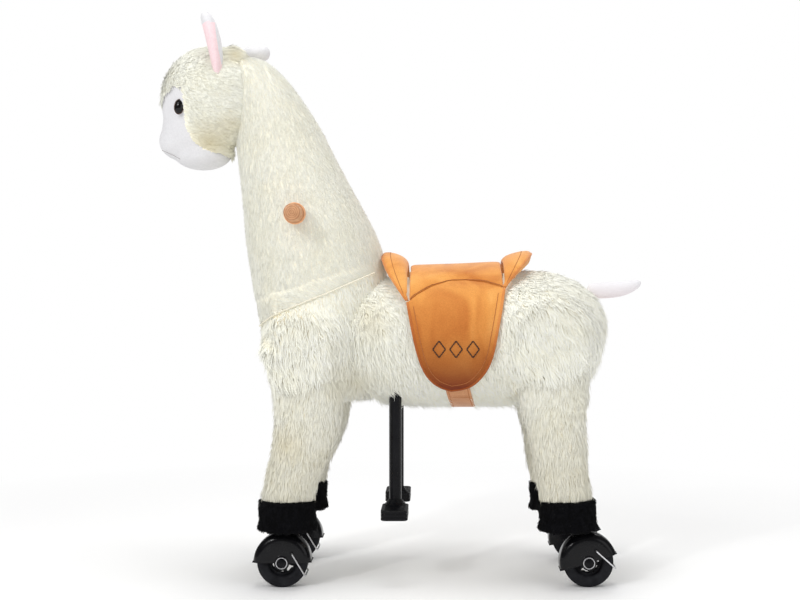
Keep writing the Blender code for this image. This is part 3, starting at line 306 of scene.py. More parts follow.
def drawn(bench):
    """An object as it is drawn, with its modifiers run, as a bmesh. The object is used up."""
    bpy.context.view_layer.update()
    mesh = bpy.data.meshes.new_from_object(bench.evaluated_get(bpy.context.evaluated_depsgraph_get()))
    shape = bmesh.new()
    shape.from_mesh(mesh)
    bpy.data.batch_remove((bench, bench.data, mesh))
    return shape


def worked(shape, *steps):
    """Run modifiers, each a kind and its settings, on a bmesh for good."""
    bench = in_scene("bench", as_mesh(shape))
    for kind, settings in steps:
        modifier = bench.modifiers.new(kind, kind)
        for key, value in settings.items():
            setattr(modifier, key, value)
    return drawn(bench)


def divided(levels):
    return "SUBSURF", {"levels": levels, "render_levels": levels}


def thickened(thickness, **more):
    return "SOLIDIFY", {"thickness": thickness, "offset": -1, **more}


def join(shapes):
    """Several bmeshes as one."""
    result = bmesh.new()
    for shape in shapes:
        mesh = as_mesh(shape)
        result.from_mesh(mesh)
        bpy.data.meshes.remove(mesh)
    return result


def put(shape, place=(0, 0, 0), turn=Matrix(), size=(1, 1, 1)):
    """Scale, turn and move a whole bmesh."""
    bmesh.ops.scale(shape, vec=size, verts=shape.verts)
    bmesh.ops.transform(shape, matrix=Matrix.Translation(Vector(place)) @ turn.to_4x4(), verts=shape.verts)
    return shape


print("piece helpers ready")

# %% [markdown]
# Plush is a sewn skin, stuffed until it is round. A ring of fabric at each of a few places along the animal gives its
# thickness and width there. The cage starts as a sphere whose rings move to those places, and Subdivision Surface
# rounds it, as stuffing does.


# %% stuffed form helper
def stuffed(stations, side=0.0, sides=12, level_rings=False, grow=(0.0, 0.0), rounds=3):
    """A round form through rings at (x, z, half thickness, half width), grown by thickness and width."""
    rings = len(stations) - 2
    swell = 1 / cos(pi / sides)
    shape = bmesh.new()
    bmesh.ops.create_uvsphere(shape, u_segments=sides, v_segments=rings + 1, radius=1.0)
    for vert in shape.verts:
        level = round(atan2(Vector(vert.co.xy).length, vert.co.z) / pi * (rings + 1))
        angle = atan2(vert.co.y, vert.co.x)
        x, z, thick, wide = stations[level]
        before, after = stations[max(level - 1, 0)], stations[min(level + 1, rings + 1)]
        along = Vector((after[0] - before[0], 0, after[1] - before[1])).normalized()
        if level_rings:
            along = Vector((0, 0, 1 if along.z > 0 else -1))
        out = Vector((-along.z, 0, along.x))
        if level in (0, rings + 1):
            vert.co = Vector((x, side, z)) + along * (1 if level else -1) * grow[0]
        else:
            vert.co = (Vector((x, side, z)) + out * (thick + grow[0]) * swell * cos(angle)
                       + ACROSS * (wide + grow[1]) * swell * sin(angle))
    shape = worked(shape, divided(rounds))
    if shape.calc_volume(signed=True) < 0:
        bmesh.ops.reverse_faces(shape, faces=shape.faces)
    return shape


def along(start, end, share):
    return start + (end - start) * share


def turn_xz(across, up, angle):
    return across * cos(angle) - up * sin(angle), across * sin(angle) + up * cos(angle)


print("stuffed form helper ready")

# %% [markdown]
# These are the animal's own measures, the same that the frame's maker used: how far each ring lies along the body,
# neck or leg, and how thick and wide it is there.

# %% measures of the stuffed forms
BELLY, BACK, BODY_WIDTH = 0.2217, 0.401, 0.230
BODY_SPAN = (STEER.x + 0.0297, HIP.x + 0.083)
BODY_RINGS = [
    (0.00, 0.52, 0.00, 0.00), (0.05, 0.52, 0.36, 0.66), (0.14, 0.51, 0.47, 0.86), (0.27, 0.50, 0.50, 0.97),
    (0.45, 0.50, 0.50, 1.00), (0.62, 0.51, 0.51, 1.00), (0.77, 0.53, 0.52, 1.00), (0.88, 0.53, 0.46, 0.90),
    (0.955, 0.52, 0.34, 0.70), (0.99, 0.51, 0.19, 0.40), (1.00, 0.50, 0.00, 0.00)]
NECK_FRONT, NECK_WIDTH, NECK_BASE, CROWN = 0.090, 0.200, 0.235, 0.690
NECK_RINGS = [
    (0.00, -0.40, 0.80, 0.00), (0.01, 0.30, 1.10, 0.50), (0.06, 0.52, 1.30, 0.80), (0.20, 0.66, 1.30, 0.98),
    (0.30, 0.77, 1.30, 1.00), (0.37, 0.82, 1.28, 1.00), (0.45, 0.89, 1.20, 0.95), (0.57, 0.93, 0.86, 0.84),
    (0.69, 1.00, 0.53, 0.70), (0.78, 1.06, 0.32, 0.62), (0.86, 1.12, 0.04, 0.56), (0.92, 1.17, -0.18, 0.48),
    (0.97, 1.18, -0.45, 0.36), (1.00, 0.80, -0.80, 0.00)]
LEG_WIDTH, FOOT_HEIGHT = 0.072, 0.110
FRONT_LEG_RINGS = [
    (1.245, 0.00, 0.00, 0.00), (1.19, 0.00, 0.62, 0.72), (1.00, 0.00, 1.00, 1.00), (0.79, 0.10, 1.02, 1.00),
    (0.65, 0.17, 1.03, 1.00), (0.39, 0.14, 0.96, 0.95), (0.19, -0.03, 0.82, 0.92), (0.01, -0.11, 0.80, 0.95),
    (-0.05, -0.12, 0.78, 0.93), (-0.10, -0.12, 0.00, 0.00)]
REAR_LEG_RINGS = [
    (1.27, 0.00, 0.00, 0.00), (1.20, 0.00, 0.68, 0.75), (1.00, 0.00, 1.00, 1.00), (0.73, 0.11, 0.95, 1.00),
    (0.55, 0.10, 0.82, 1.00), (0.36, 0.17, 0.72, 0.95), (0.17, 0.19, 0.69, 0.92), (0.02, 0.25, 0.68, 0.95),
    (-0.05, 0.26, 0.67, 0.93), (-0.10, 0.26, 0.00, 0.00)]
LEGS = {"front": (FRONT_LEG_RINGS, STEER, 0.094), "rear": (REAR_LEG_RINGS, HIP, 0.110)}


def body_form(grow=(0.0, 0.0), rounds=3):
    height = BACK - BELLY
    return stuffed([(along(*BODY_SPAN, share), BELLY + height * middle, height * thick, BODY_WIDTH / 2 * wide)
                    for share, middle, thick, wide in BODY_RINGS], grow=grow, rounds=rounds)


def neck_form(grow=(0.0, 0.0), rounds=3):
    rings = []
    for share, front, back, wide in NECK_RINGS:
        fore, aft = STEER.x - NECK_FRONT * front, STEER.x + NECK_FRONT * back
        rings.append(((fore + aft) / 2, along(NECK_BASE, CROWN, share), (aft - fore) / 2, NECK_WIDTH / 2 * wide))
    return stuffed(rings, grow=grow, level_rings=True, rounds=rounds)


def leg_form(where, side, grow=(0.0, 0.0), rounds=3):
    rings, pivot, thickness = LEGS[where]
    return stuffed([(pivot.x + thickness * back, along(FOOT_HEIGHT, pivot.z, up), thickness / 2 * thick,
                     LEG_WIDTH / 2 * wide) for up, back, thick, wide in rings],
                   side=side, sides=10, grow=grow, level_rings=True, rounds=rounds)


print("rings:", len(BODY_RINGS), "body,", len(NECK_RINGS), "neck,", len(REAR_LEG_RINGS), "per leg")

# %% [markdown]
# Cream plush has two finishes. The woven backing shows only in the partings, so it is painted a darker tan, as the
# shade there, and given a faint glow, painted light that keeps those partings from going black. The pile itself is
# coloured along each lock: shaded at the root, where light hardly reaches, and pale at the tip. Both are read from a
# map that every lock carries, with its own shade across and its length upwards, so all copies of a lock look right. A
# faint glow stands in for the light that comes through real pile.

# %% plush finishes
PILE_MAP = "OFBake"
LOCK_COLUMNS = 64
WHITE = (1, 1, 1)
LONG_CREAM = [(0.84, 0.80, 0.64), (0.90, 0.895, 0.79), (0.94, 0.945, 0.88)]
SHORT_CREAM = [(0.85, 0.84, 0.72), (0.865, 0.86, 0.755), (0.905, 0.91, 0.84)]
HOOF_BLACK = [(0.001, 0.001, 0.002), (0.002, 0.002, 0.003), (0.006, 0.006, 0.007)]
# Painted shade in creases: where each tan patch sits (x, z), its reach and its strength.
CREASE_SHADE_PLACES = [(-0.248, 0.566, 0.036, 0.8), (-0.216, 0.683, 0.022, 0.7), (-0.219, 0.590, 0.020, 0.5),
              (-0.140, 0.182, 0.030, 0.45), (-0.032, 0.335, 0.034, 0.35), (-0.060, 0.255, 0.040, 0.3)]


def tan_shade(finish):
    """Painted shade: soft tan patches, seen from the side, in the creases at the cheek, behind the ear, where neck
    meets head, at the knee and behind the front leg.
    """
    total = 0.0
    for x, z, reach, strength in CREASE_SHADE_PLACES:
        spot = finish.spot((x, 0, z), (reach, 2.0, reach))
        total = finish.add("Math", {"operation": "MULTIPLY_ADD"}, _0=spot, _1=strength, _2=total).outputs[0]
    return finish.ramp(total, [(0.0, WHITE), (0.9, (0.84, 0.76, 0.58))])


def pile_finish(name, shades, shade=0.08, sheen=0.25, glow=0.14, shaded_below=False):
    """Colour from root to tip of a lock, varied from lock to lock by the map's other direction."""
    finish = Finish(name, shades[1], 0.85, Sheen_Weight=sheen, Specular_IOR_Level=0.1)
    parts = finish.add("SeparateXYZ", _0=finish.add("UVMap", {"uv_map": PILE_MAP}).outputs[0]).outputs
    column = finish.add("Math", {"operation": "MULTIPLY"}, _0=parts["X"], _1=LOCK_COLUMNS)
    whole = finish.add("Math", {"operation": "FLOOR"}, _0=column.outputs[0])
    lock = finish.add("TexWhiteNoise", {"noise_dimensions": "1D"}, W=whole.outputs[0]).outputs["Value"]
    darker = [1 - shade * factor for factor in (1.0, 1.15, 1.6)]
    layers = [finish.ramp(parts["Y"], zip((0.0, 0.35, 1.0), shades)),
              finish.ramp(lock, [(0.0, darker), (0.6, WHITE)]),
              finish.ramp(finish.noise(26), [(0.36, (0.98, 0.973, 0.945)), (0.58, WHITE)]),
              tan_shade(finish)]
    # Painted shade: the legs darken towards the ground.
    if shaded_below:
        layers.append(finish.by_height(0.14, 0.30, [(0.0, (0.82, 0.80, 0.76)), (1.0, WHITE)]))
    return finish.glowing(finish.times(*layers), glow)


def backing_finish(name, colour, darker, scale=420, glow=0.0):
    finish = Finish(name, colour, 0.95, Specular_IOR_Level=0.1)
    weave = finish.ramp(finish.noise(scale, 3), [(0.35, darker), (0.65, colour)])
    return finish.glowing(weave, glow).bump(finish.noise(scale * 2, 1), 0.0006)


cream_pile = pile_finish("cream_pile", LONG_CREAM)
short_pile = pile_finish("short_cream_pile", SHORT_CREAM)
# Leg pile carries painted shade that darkens it towards the ground.
leg_pile = pile_finish("leg_pile", LONG_CREAM, shaded_below=True)
black_pile = pile_finish("black_pile", HOOF_BLACK, shade=0.4, sheen=0.0, glow=0.0)
# The cream backing is a painted shade of tan and glows faintly: painted light that lifts the shade in the partings.
cream_backing = backing_finish("cream_backing", (0.88, 0.84, 0.71), (0.82, 0.76, 0.61), 260, glow=0.30)
white_backing = backing_finish("white_backing", (0.76, 0.755, 0.77), (0.72, 0.715, 0.73))
black_backing = backing_finish("black_backing", (0.004, 0.004, 0.005), (0.002, 0.002, 0.003))
pink_backing = backing_finish("pink_backing", (0.92, 0.72, 0.74), (0.88, 0.66, 0.69))
tail_backing = Finish("tail_backing", (0.76, 0.755, 0.77), 0.95, Specular_IOR_Level=0.1)
blush = tail_backing.by_height(0.352, 0.392, [(0.0, (0.86, 0.66, 0.70)), (0.35, (0.84, 0.77, 0.80)),
                                              (0.8, (0.80, 0.79, 0.81))])
tail_backing.colour(blush).bump(tail_backing.noise(840, 1), 0.0006)
print("plush finishes made")

# %% [markdown]
# Long pile is thousands of tapered locks. One lock is modelled, a three-sided cone with a ring of points halfway, or
# with none for short pile, and numpy lays copies of it over the skin. Each copy leans along the way the fur is combed,
# droops towards its tip, and is drawn to the nearest clump, because real pile gathers into pointed tufts. Its shading
# leans towards the skin's own direction, since a dense pile takes light as one soft surface, not as separate blades.

# %% one lock of pile
SKIN_LIGHT = 0.85
FLYAWAY, FLYAWAY_RISE, MOST_RISE = 0.10, 2.2, 0.9
COMB_SPREAD, LOCK_TWIST, LOCK_FLATNESS = 0.12, 0.6, 0.55
LENGTH_SPREAD, WIDTH_SPREAD, RISE_SPREAD = (0.75, 1.12), (0.75, 1.2), (0.7, 1.25)


def lock_template(rings):
    """One lock of unit length and radius, as arrays: ring places, heights and faces."""
    shape = bmesh.new()
    bmesh.ops.create_cone(shape, cap_ends=True, segments=3, radius1=1.0, radius2=0.0, depth=1.0)
    bmesh.ops.translate(shape, vec=(0, 0, 0.5), verts=shape.verts)
    bmesh.ops.remove_doubles(shape, verts=shape.verts, dist=1e-4)
    for height in rings:
        bmesh.ops.bisect_plane(shape, geom=shape.verts[:] + shape.edges[:] + shape.faces[:],
                               plane_co=(0, 0, height), plane_no=(0, 0, 1))
    bmesh.ops.triangulate(shape, faces=[face for face in shape.faces if len(face.verts) > 4])
    shape.verts.index_update()
    places = np.array([vert.co for vert in shape.verts])
    radius = np.hypot(places[:, 0], places[:, 1])
    turn = np.arctan2(places[:, 1], places[:, 0])
    loops = [[vert.index for vert in face.verts] for face in shape.faces]
    shape.free()
    return places[:, 2], turn, radius > 1e-5, loops


def unit(vectors):
    return vectors / np.maximum(np.linalg.norm(vectors, axis=1, keepdims=True), 1e-9)


def triangles_of(shape):
    """Corner places and corner normals of a bmesh's triangles."""
    loops = shape.calc_loop_triangles()
    places = np.array([[loop.vert.co for loop in three] for three in loops])
    normals = np.array([[loop.vert.normal for loop in three] for three in loops])
    return places, normals


print("lock:", len(lock_template((0.5,))[3]), "faces")

# %% lay the pile
def pile(name, skin, count, length, width, comb, finish, body, seed, keep=None, lift=0.35, clump=14,
         gather=0.30, wave=0.12, droop=0.25, rings=(0.5,), skin_light=SKIN_LIGHT):
    """Cover a skin with locks.

    comb turns root places and normals into the way the fur lies; keep says which roots stay; length is one number
    or a function of the roots.
    """
    rng = np.random.default_rng(seed)
    corners, corner_normals = triangles_of(skin)
    areas = np.linalg.norm(np.cross(corners[:, 1] - corners[:, 0], corners[:, 2] - corners[:, 0]), axis=1) / 2
    chosen = rng.choice(len(areas), size=count, p=areas / areas.sum())
    first, second = rng.random((2, count))
    over = first + second > 1
    first[over], second[over] = 1 - first[over], 1 - second[over]
    shares = np.stack([1 - first - second, first, second], axis=1)[:, :, None]
    roots = (corners[chosen] * shares).sum(axis=1)
    normals = unit((corner_normals[chosen] * shares).sum(axis=1))
    if keep is not None:
        stay = keep(roots, normals)
        roots, normals = roots[stay], normals[stay]
        count = len(roots)
    flow = comb(roots, normals) + rng.normal(0, COMB_SPREAD, (count, 3))
    flow = unit(flow - (flow * normals).sum(axis=1, keepdims=True) * normals)
    across = np.cross(normals, flow)
    long = length(roots) if callable(length) else np.full(count, length)
    long = (long * rng.uniform(*LENGTH_SPREAD, count))[:, None]
    rise = (np.full(count, lift) if np.isscalar(lift) else lift(roots, normals))[:, None]
    rise = rise * rng.uniform(*RISE_SPREAD, (count, 1))
    rise = np.minimum(rise * np.where(rng.random((count, 1)) < FLYAWAY, FLYAWAY_RISE, 1.0), MOST_RISE)

    def path(share):
        """Where a lock's middle line is at a share of its length."""
        up = rise * (share - droop * share ** 2)
        out = np.sqrt(np.maximum(1 - rise ** 2, 0.05)) * share
        return roots + long * (normals * up + flow * out)

    centres = rng.choice(count, size=max(count // clump, 1), replace=False)
    tree = KDTree(len(centres))
    for index, centre in enumerate(centres):
        tree.insert(roots[centre], index)
    tree.balance()
    nearest = centres[[tree.find(root)[1] for root in roots]]
    phase, swing = rng.uniform(0, 2 * pi, (2, count, 1))
    heights, turn, ringed, loops = lock_template(rings)
    places, facing = np.empty((2, count, len(heights), 3))
    thick = width * rng.uniform(*WIDTH_SPREAD, (count, 1))
    twist = rng.uniform(-LOCK_TWIST, LOCK_TWIST, (count, 1))
    for corner, (height, angle, on_ring) in enumerate(zip(heights, turn, ringed)):
        middle = path(height)
        pull = gather * height ** 1.3
        middle = middle * (1 - pull) + middle[nearest] * pull
        bend = wave * long * height * np.sin(2 * pi * height + phase[nearest])
        middle = middle + across * bend + across * wave * long * height * np.sin(swing) * 0.6
        radius = thick / 2 * (1 - height) ** 0.6 * (0.85 + 0.6 * height)
        side = across * np.cos(angle + twist) + normals * np.sin(angle + twist) * LOCK_FLATNESS
        places[:, corner] = middle + side * radius if on_ring else middle
        facing[:, corner] = normals * skin_light + (side if on_ring else flow) * (1 - skin_light)
    corners_each = len(heights)
    steps = (np.arange(count) * corners_each)[:, None]
    flat_loops = np.concatenate([np.array(loop) for loop in loops])
    sizes = np.array([len(loop) for loop in loops])
    mesh = bpy.data.meshes.new(name)
    mesh.vertices.add(count * corners_each)
    mesh.vertices.foreach_set("co", places.ravel())
    mesh.loops.add(count * len(flat_loops))
    mesh.loops.foreach_set("vertex_index", (flat_loops[None, :] + steps).ravel())
    mesh.polygons.add(count * len(loops))
    starts = np.concatenate([[0], np.cumsum(sizes)[:-1]])
    mesh.polygons.foreach_set("loop_start", (starts[None, :] + (np.arange(count) * len(flat_loops))[:, None]).ravel())
    mesh.update(calc_edges=True)
    mesh.shade_smooth()
    column = rng.integers(0, LOCK_COLUMNS, count)[:, None]
    around = (np.sin(turn[flat_loops]) * 0.4 + 0.5)[None, :]
    pile_map = mesh.uv_layers.new(name=PILE_MAP)
    flat_map = np.stack([(column + around) / LOCK_COLUMNS, np.broadcast_to(heights[flat_loops], around.shape)
                         + np.zeros_like(column)], axis=2)
    pile_map.data.foreach_set("uv", flat_map.ravel())
    mesh.validate()
    mesh.normals_split_custom_set_from_vertices(unit(facing.reshape(-1, 3)))
    print(name, count, "locks,", count * sum(size - 2 for size in sizes), "triangles")
    piece(name, mesh, finish, body)


print("pile helper ready")

# %% [markdown]
# The trunk's skin is the body form, drawn in to leave room for the pile. Neck and chest turn inside a round hollow at
# its front, and the hind legs swing in two hollows beside the hips, so the skin is pushed back from those places.

# %% skin of the trunk
PILE_ROOM = 0.008
TURN_RADIUS, LEG_TURN_RADIUS = 0.112, 0.130
POCKET_SIDE = TRACK_HALF - LEG_WIDTH / 2 - 0.0012
LEG_SWING = radians(12)


def in_arch(places, pivot, radius, fore, aft):
    """Which places lie in the arch-shaped room of a leg, seen from the side."""
    dx, dz = places[:, 0] - pivot.x, places[:, 2] - pivot.z
    below = (dz < 0) & (places[:, 0] > fore) & (places[:, 0] < aft)
    return (np.hypot(dx, dz) < radius) | below


def moved(shape, change):
    """Pass a bmesh's points through a function of one array."""
    places = change(np.array([vert.co for vert in shape.verts]))
    for vert, place in zip(shape.verts, places):
        vert.co = place
    shape.normal_update()
    return shape


def trunk_hollows(places):
    reach = np.hypot(places[:, 0] - STEER.x, places[:, 1])
    room = np.where(places[:, 2] < STEER.z + 0.053, LEG_TURN_RADIUS, TURN_RADIUS + 0.0006)
    short = reach < room
    places[short, 0] = STEER.x + np.sqrt(np.maximum(room[short] ** 2 - places[short, 1] ** 2, 1e-6))
    swing = (HIP.z - BELLY) * sin(LEG_SWING)
    inside = in_arch(places, HIP, 0.060, HIP.x - 0.060 - swing, HIP.x + 0.062) & (abs(places[:, 1]) > POCKET_SIDE)
    places[inside, 1] = np.sign(places[inside, 1]) * POCKET_SIDE
    return places


def over_joint(places, pivot, reach_full):
    """Draw a skin out over the round top of a leg, so that it covers the leg like a shoulder."""
    dx, dz = places[:, 0] - pivot.x, places[:, 2] - pivot.z
    share = np.clip((np.hypot(dx, dz) - reach_full) / 0.040, 0, 1)
    over = (dz > -0.085) & (abs(places[:, 1]) > POCKET_SIDE)
    dome = np.sqrt(np.clip(1 - (np.maximum(dz, 0) / 0.072) ** 2, 0, 1)) * np.sqrt(np.clip(1 - (dx / 0.090) ** 2, 0, 1))
    wide = TRACK_HALF + (LEG_WIDTH / 2 + 0.001) * dome
    onset = np.clip((abs(places[:, 1]) - POCKET_SIDE) / 0.030, 0, 1)
    onset = 1 - (1 - onset * onset * (3 - 2 * onset)) * np.clip(dz / 0.040, 0, 1)
    out = abs(places[:, 1]) + np.maximum(wide - abs(places[:, 1]), 0) * (1 - share) ** 1.3 * onset
    places[over, 1] = (np.sign(places[:, 1]) * out)[over]
    return places


def ragged(places, pivot):
    """Thin out roots towards the lower edge of a shoulder, so that it has no straight hem."""
    chance = np.modf(abs(np.sin(places[:, 0] * 1291.7 + places[:, 2] * 7823.3) * 4375.85))[0]
    near = (abs(places[:, 0] - pivot.x) < 0.052) & (abs(places[:, 1]) > POCKET_SIDE + 0.012)
    return ~near | (chance > np.clip((pivot.z - 0.020 - places[:, 2]) / 0.060, 0, 1))


trunk_form = body_form((-PILE_ROOM, -PILE_ROOM), rounds=4)
trunk_shape = moved(trunk_form.copy(), trunk_hollows)
trunk_roots = moved(trunk_form, lambda places: over_joint(places, HIP, 0.046))
piece("trunk_skin", trunk_shape, cream_backing, "frame", ["body_plush"])

# %% [markdown]
# Neck and chest are one sewn form that turns with the handles. Its lower end stays inside the turning circle, and is
# hollow where the front legs swing.

# %% skin of neck and chest
NECK_ROOM = 0.005


def neck_hollows(places):
    dx, dy = places[:, 0] - STEER.x, places[:, 1]
    reach = np.hypot(dx, dy)
    far = (reach > TURN_RADIUS - 0.003) & (dx > 0)
    places[far, 0] = STEER.x + np.sqrt(np.maximum((TURN_RADIUS - 0.003) ** 2 - dy[far] ** 2, 1e-6))
    inside = in_arch(places, STEER, 0.049, STEER.x - 0.053, STEER.x + 0.084) & (abs(dy) > POCKET_SIDE)
    places[inside, 1] = np.sign(dy[inside]) * POCKET_SIDE
    return places


neck_roots = moved(neck_form((-NECK_ROOM, -NECK_ROOM), rounds=4), lambda places: over_joint(places, STEER, 0.042))
neck_shape = moved(neck_roots.copy(), neck_hollows)
piece("neck_skin", neck_shape, cream_backing, "steering", ["neck_plush", "chest_plush"])

# %% [markdown]
# Each leg is a stuffed tube on its steel leg, cut level above the hoof. Both ends of the cut are closed, so that the
# skin is one sealed form like a sewn leg.

# %% skins of the legs
HOOD_RADIUS = 0.0365
REAR_TILT = radians(17)
LEG_ROOM = 0.006
TILTS = {"front": 0.0, "rear": REAR_TILT}
CUFF_SHIFT = {"front": 0.003, "rear": -0.008}


def foot_place(where):
    across, up = turn_xz(0, HOOD_RADIUS + 0.0003, TILTS[where])
    return Vector((AXLES[where, "left"].x + across, 0, WHEEL_RADIUS + up))


leg_skins = {}
for where, side in ENDS:
    rings, pivot, thickness = LEGS[where]
    foot = foot_place(where)
    head = Vector((pivot.x, 0, pivot.z))
    line = (foot - head).normalized()
    cuff_top = head + line * ((head.z - FOOT_HEIGHT) / -line.z)
    line = (line * 0.2 + Vector((0, 0, -0.8))).normalized()
    cuff_top.x += CUFF_SHIFT[where]
    leg_shape = leg_form(where, AXLES[where, side].y, (-LEG_ROOM, -LEG_ROOM))
    cut = bmesh.ops.bisect_plane(leg_shape, geom=leg_shape.verts[:] + leg_shape.edges[:] + leg_shape.faces[:],
                                 plane_co=cuff_top, plane_no=line, clear_outer=True)
    edges = [item for item in cut["geom_cut"] if isinstance(item, bmesh.types.BMEdge)]
    bmesh.ops.holes_fill(leg_shape, edges=edges, sides=0)
    leg_shape.normal_update()
    leg_skins[where, side] = (leg_shape.copy(), cuff_top, line)
    piece(f"leg_skin_{where}_{side}", leg_shape, cream_backing, f"{where}_legs",
          [f"leg_plush_{where}_{side}"])

# %% [markdown]
# The head is cut from more panels than the trunk: a round cap, a long muzzle, cheeks and a chin. Overlapping balls,
# joined by a voxel remesh and smoothed, give one skin with soft valleys between them, as the seams of a sewn head do.

# %% skin of the head
HEAD = Vector((-0.250, 0, 0.6285))
HEAD_SIZE = Vector((0.140, 0.124, 0.142))
HEAD_BALLS = [
    (HEAD, HEAD_SIZE - Vector((1, 1, 1)) * 0.008),
    (Vector((-0.268, 0, 0.590)), Vector((0.096, 0.088, 0.092))),
    (Vector((-0.2625, 0, 0.5565)), Vector((0.078, 0.068, 0.046))),
    (Vector((-0.2905, 0, 0.5725)), Vector((0.060, 0.066, 0.052))),
    (Vector((-0.284, 0, 0.612)), Vector((0.064, 0.076, 0.060))),
    (Vector((-0.227, 0, 0.672)), Vector((0.050, 0.056, 0.050))),
]
FACE_EDGE = [(-0.40, 0.6215), (-0.3157, 0.6215), (-0.3050, 0.6345), (-0.2945, 0.6415), (-0.2830, 0.6390),
             (-0.2790, 0.6300), (-0.2780, 0.6100), (-0.2765, 0.5860), (-0.2670, 0.5690), (-0.2560, 0.5590),
             (-0.2250, 0.5520), (-0.18, 0.50), (-0.40, 0.50)]


def inside_outline(across, up, outline):
    """Which points of two arrays lie inside a closed outline."""
    within = np.zeros(len(across), bool)
    for (x1, z1), (x2, z2) in zip(outline, outline[1:] + outline[:1]):
        crosses = (z1 > up) != (z2 > up)
        with np.errstate(divide="ignore", invalid="ignore"):
            edge = (x2 - x1) * (up - z1) / (z2 - z1) + x1
        within ^= crosses & (across < edge)
    return within


balls = []
for centre, size in HEAD_BALLS:
    ball = bmesh.new()
    bmesh.ops.create_icosphere(ball, subdivisions=4, radius=0.5)
    balls.append(put(ball, centre, size=size))
head_shape = worked(join(balls), ("REMESH", {"mode": "VOXEL", "voxel_size": 0.0035}),
                    ("SMOOTH", {"factor": 0.5, "iterations": 7}))
head_roots = head_shape.copy()
for face in head_shape.faces:
    middle = face.calc_center_median()
    face.material_index = int(inside_outline(np.array([middle.x]), np.array([middle.z]), FACE_EDGE)[0])
piece("head_skin", head_shape, [cream_backing, white_backing], "steering",
      ["head_plush", "face_plush"])

# %% [markdown]
# The near ear stands up and the far one lies back. Each is a flat stuffed leaf: white plush behind, with a pink lining
# that shows on the side the ear opens to.

# %% ears
EAR_WIDTH, EAR_PAD = 0.036, 0.020
EAR_RINGS = [(0.00, 0.00, 0.00), (0.04, 0.48, 0.50), (0.25, 0.78, 0.88), (0.55, 0.98, 1.00), (0.80, 0.92, 0.84),
             (0.94, 0.70, 0.60), (1.00, 0.00, 0.00)]
EARS = {"left": (-1, radians(9), 0.092, (-0.236, 0.647), (0.00, 0.01, 0.04, 0.04, 0.01, -0.03, -0.04)),
        "right": (1, radians(-62), 0.072, (-0.242, 0.666), (0.00, -0.02, -0.08, -0.11, -0.07, 0.0, 0.02))}
for side, (sign, lean, length, base, bends) in EARS.items():
    ear_base = Vector((base[0], 0, base[1]))
    rings = []
    for (share, thick, wide), bend in zip(EAR_RINGS, bends):
        across, up = turn_xz(length * bend, length * share, lean)
        pad = EAR_PAD if side == "left" else EAR_PAD * 1.35
        rings.append((ear_base.x + across, ear_base.z + up, pad / 2 * thick, EAR_WIDTH / 2 * wide))
    ear_shape = stuffed(rings, side=sign * HEAD_SIZE.y * 0.36, sides=12, rounds=3)
    for face in ear_shape.faces:
        middle = face.calc_center_median()
        across, up = turn_xz(middle.x - ear_base.x, middle.z - ear_base.z, -lean)
        lined = up < length * 0.80 and across < length * 0.04 + EAR_PAD * 0.28
        face.material_index = int(lined and face.normal.y * sign > -0.15)
    piece(f"ear_skin_{side}", ear_shape, [white_backing, pink_backing], "steering",
          [f"ear_{side}"])

# %% [markdown]
# The tail is short and smooth, and curls up a little at its end.

# %% tail
TAIL_LENGTH, TAIL_THICKNESS = 0.0764, 0.022
TAIL_RINGS = [(0.00, 0.00, 0.00, 0.00), (0.06, 0.00, 0.50, 0.45), (0.25, 0.00, 0.56, 0.48),
              (0.50, 0.03, 0.54, 0.48), (0.72, 0.14, 0.48, 0.44), (0.92, 0.42, 0.33, 0.30), (1.00, 0.60, 0.00, 0.00)]
tail_start = Vector((BODY_SPAN[1] - TAIL_THICKNESS, 0, along(BELLY, BACK, 0.85)))
tail_shape = stuffed([(tail_start.x + TAIL_LENGTH * place, tail_start.z + TAIL_THICKNESS * rise,
                       TAIL_THICKNESS * thick, TAIL_THICKNESS * wide) for place, rise, thick, wide in TAIL_RINGS],
                     sides=10, grow=(-0.0012, -0.0012), rounds=3)
piece("tail_skin", tail_shape, tail_backing, "frame", ["tail"])

# %% [markdown]
# Safety eyes are hard glossy ovals, held from behind by a washer. A thin brown rim shows round the black.

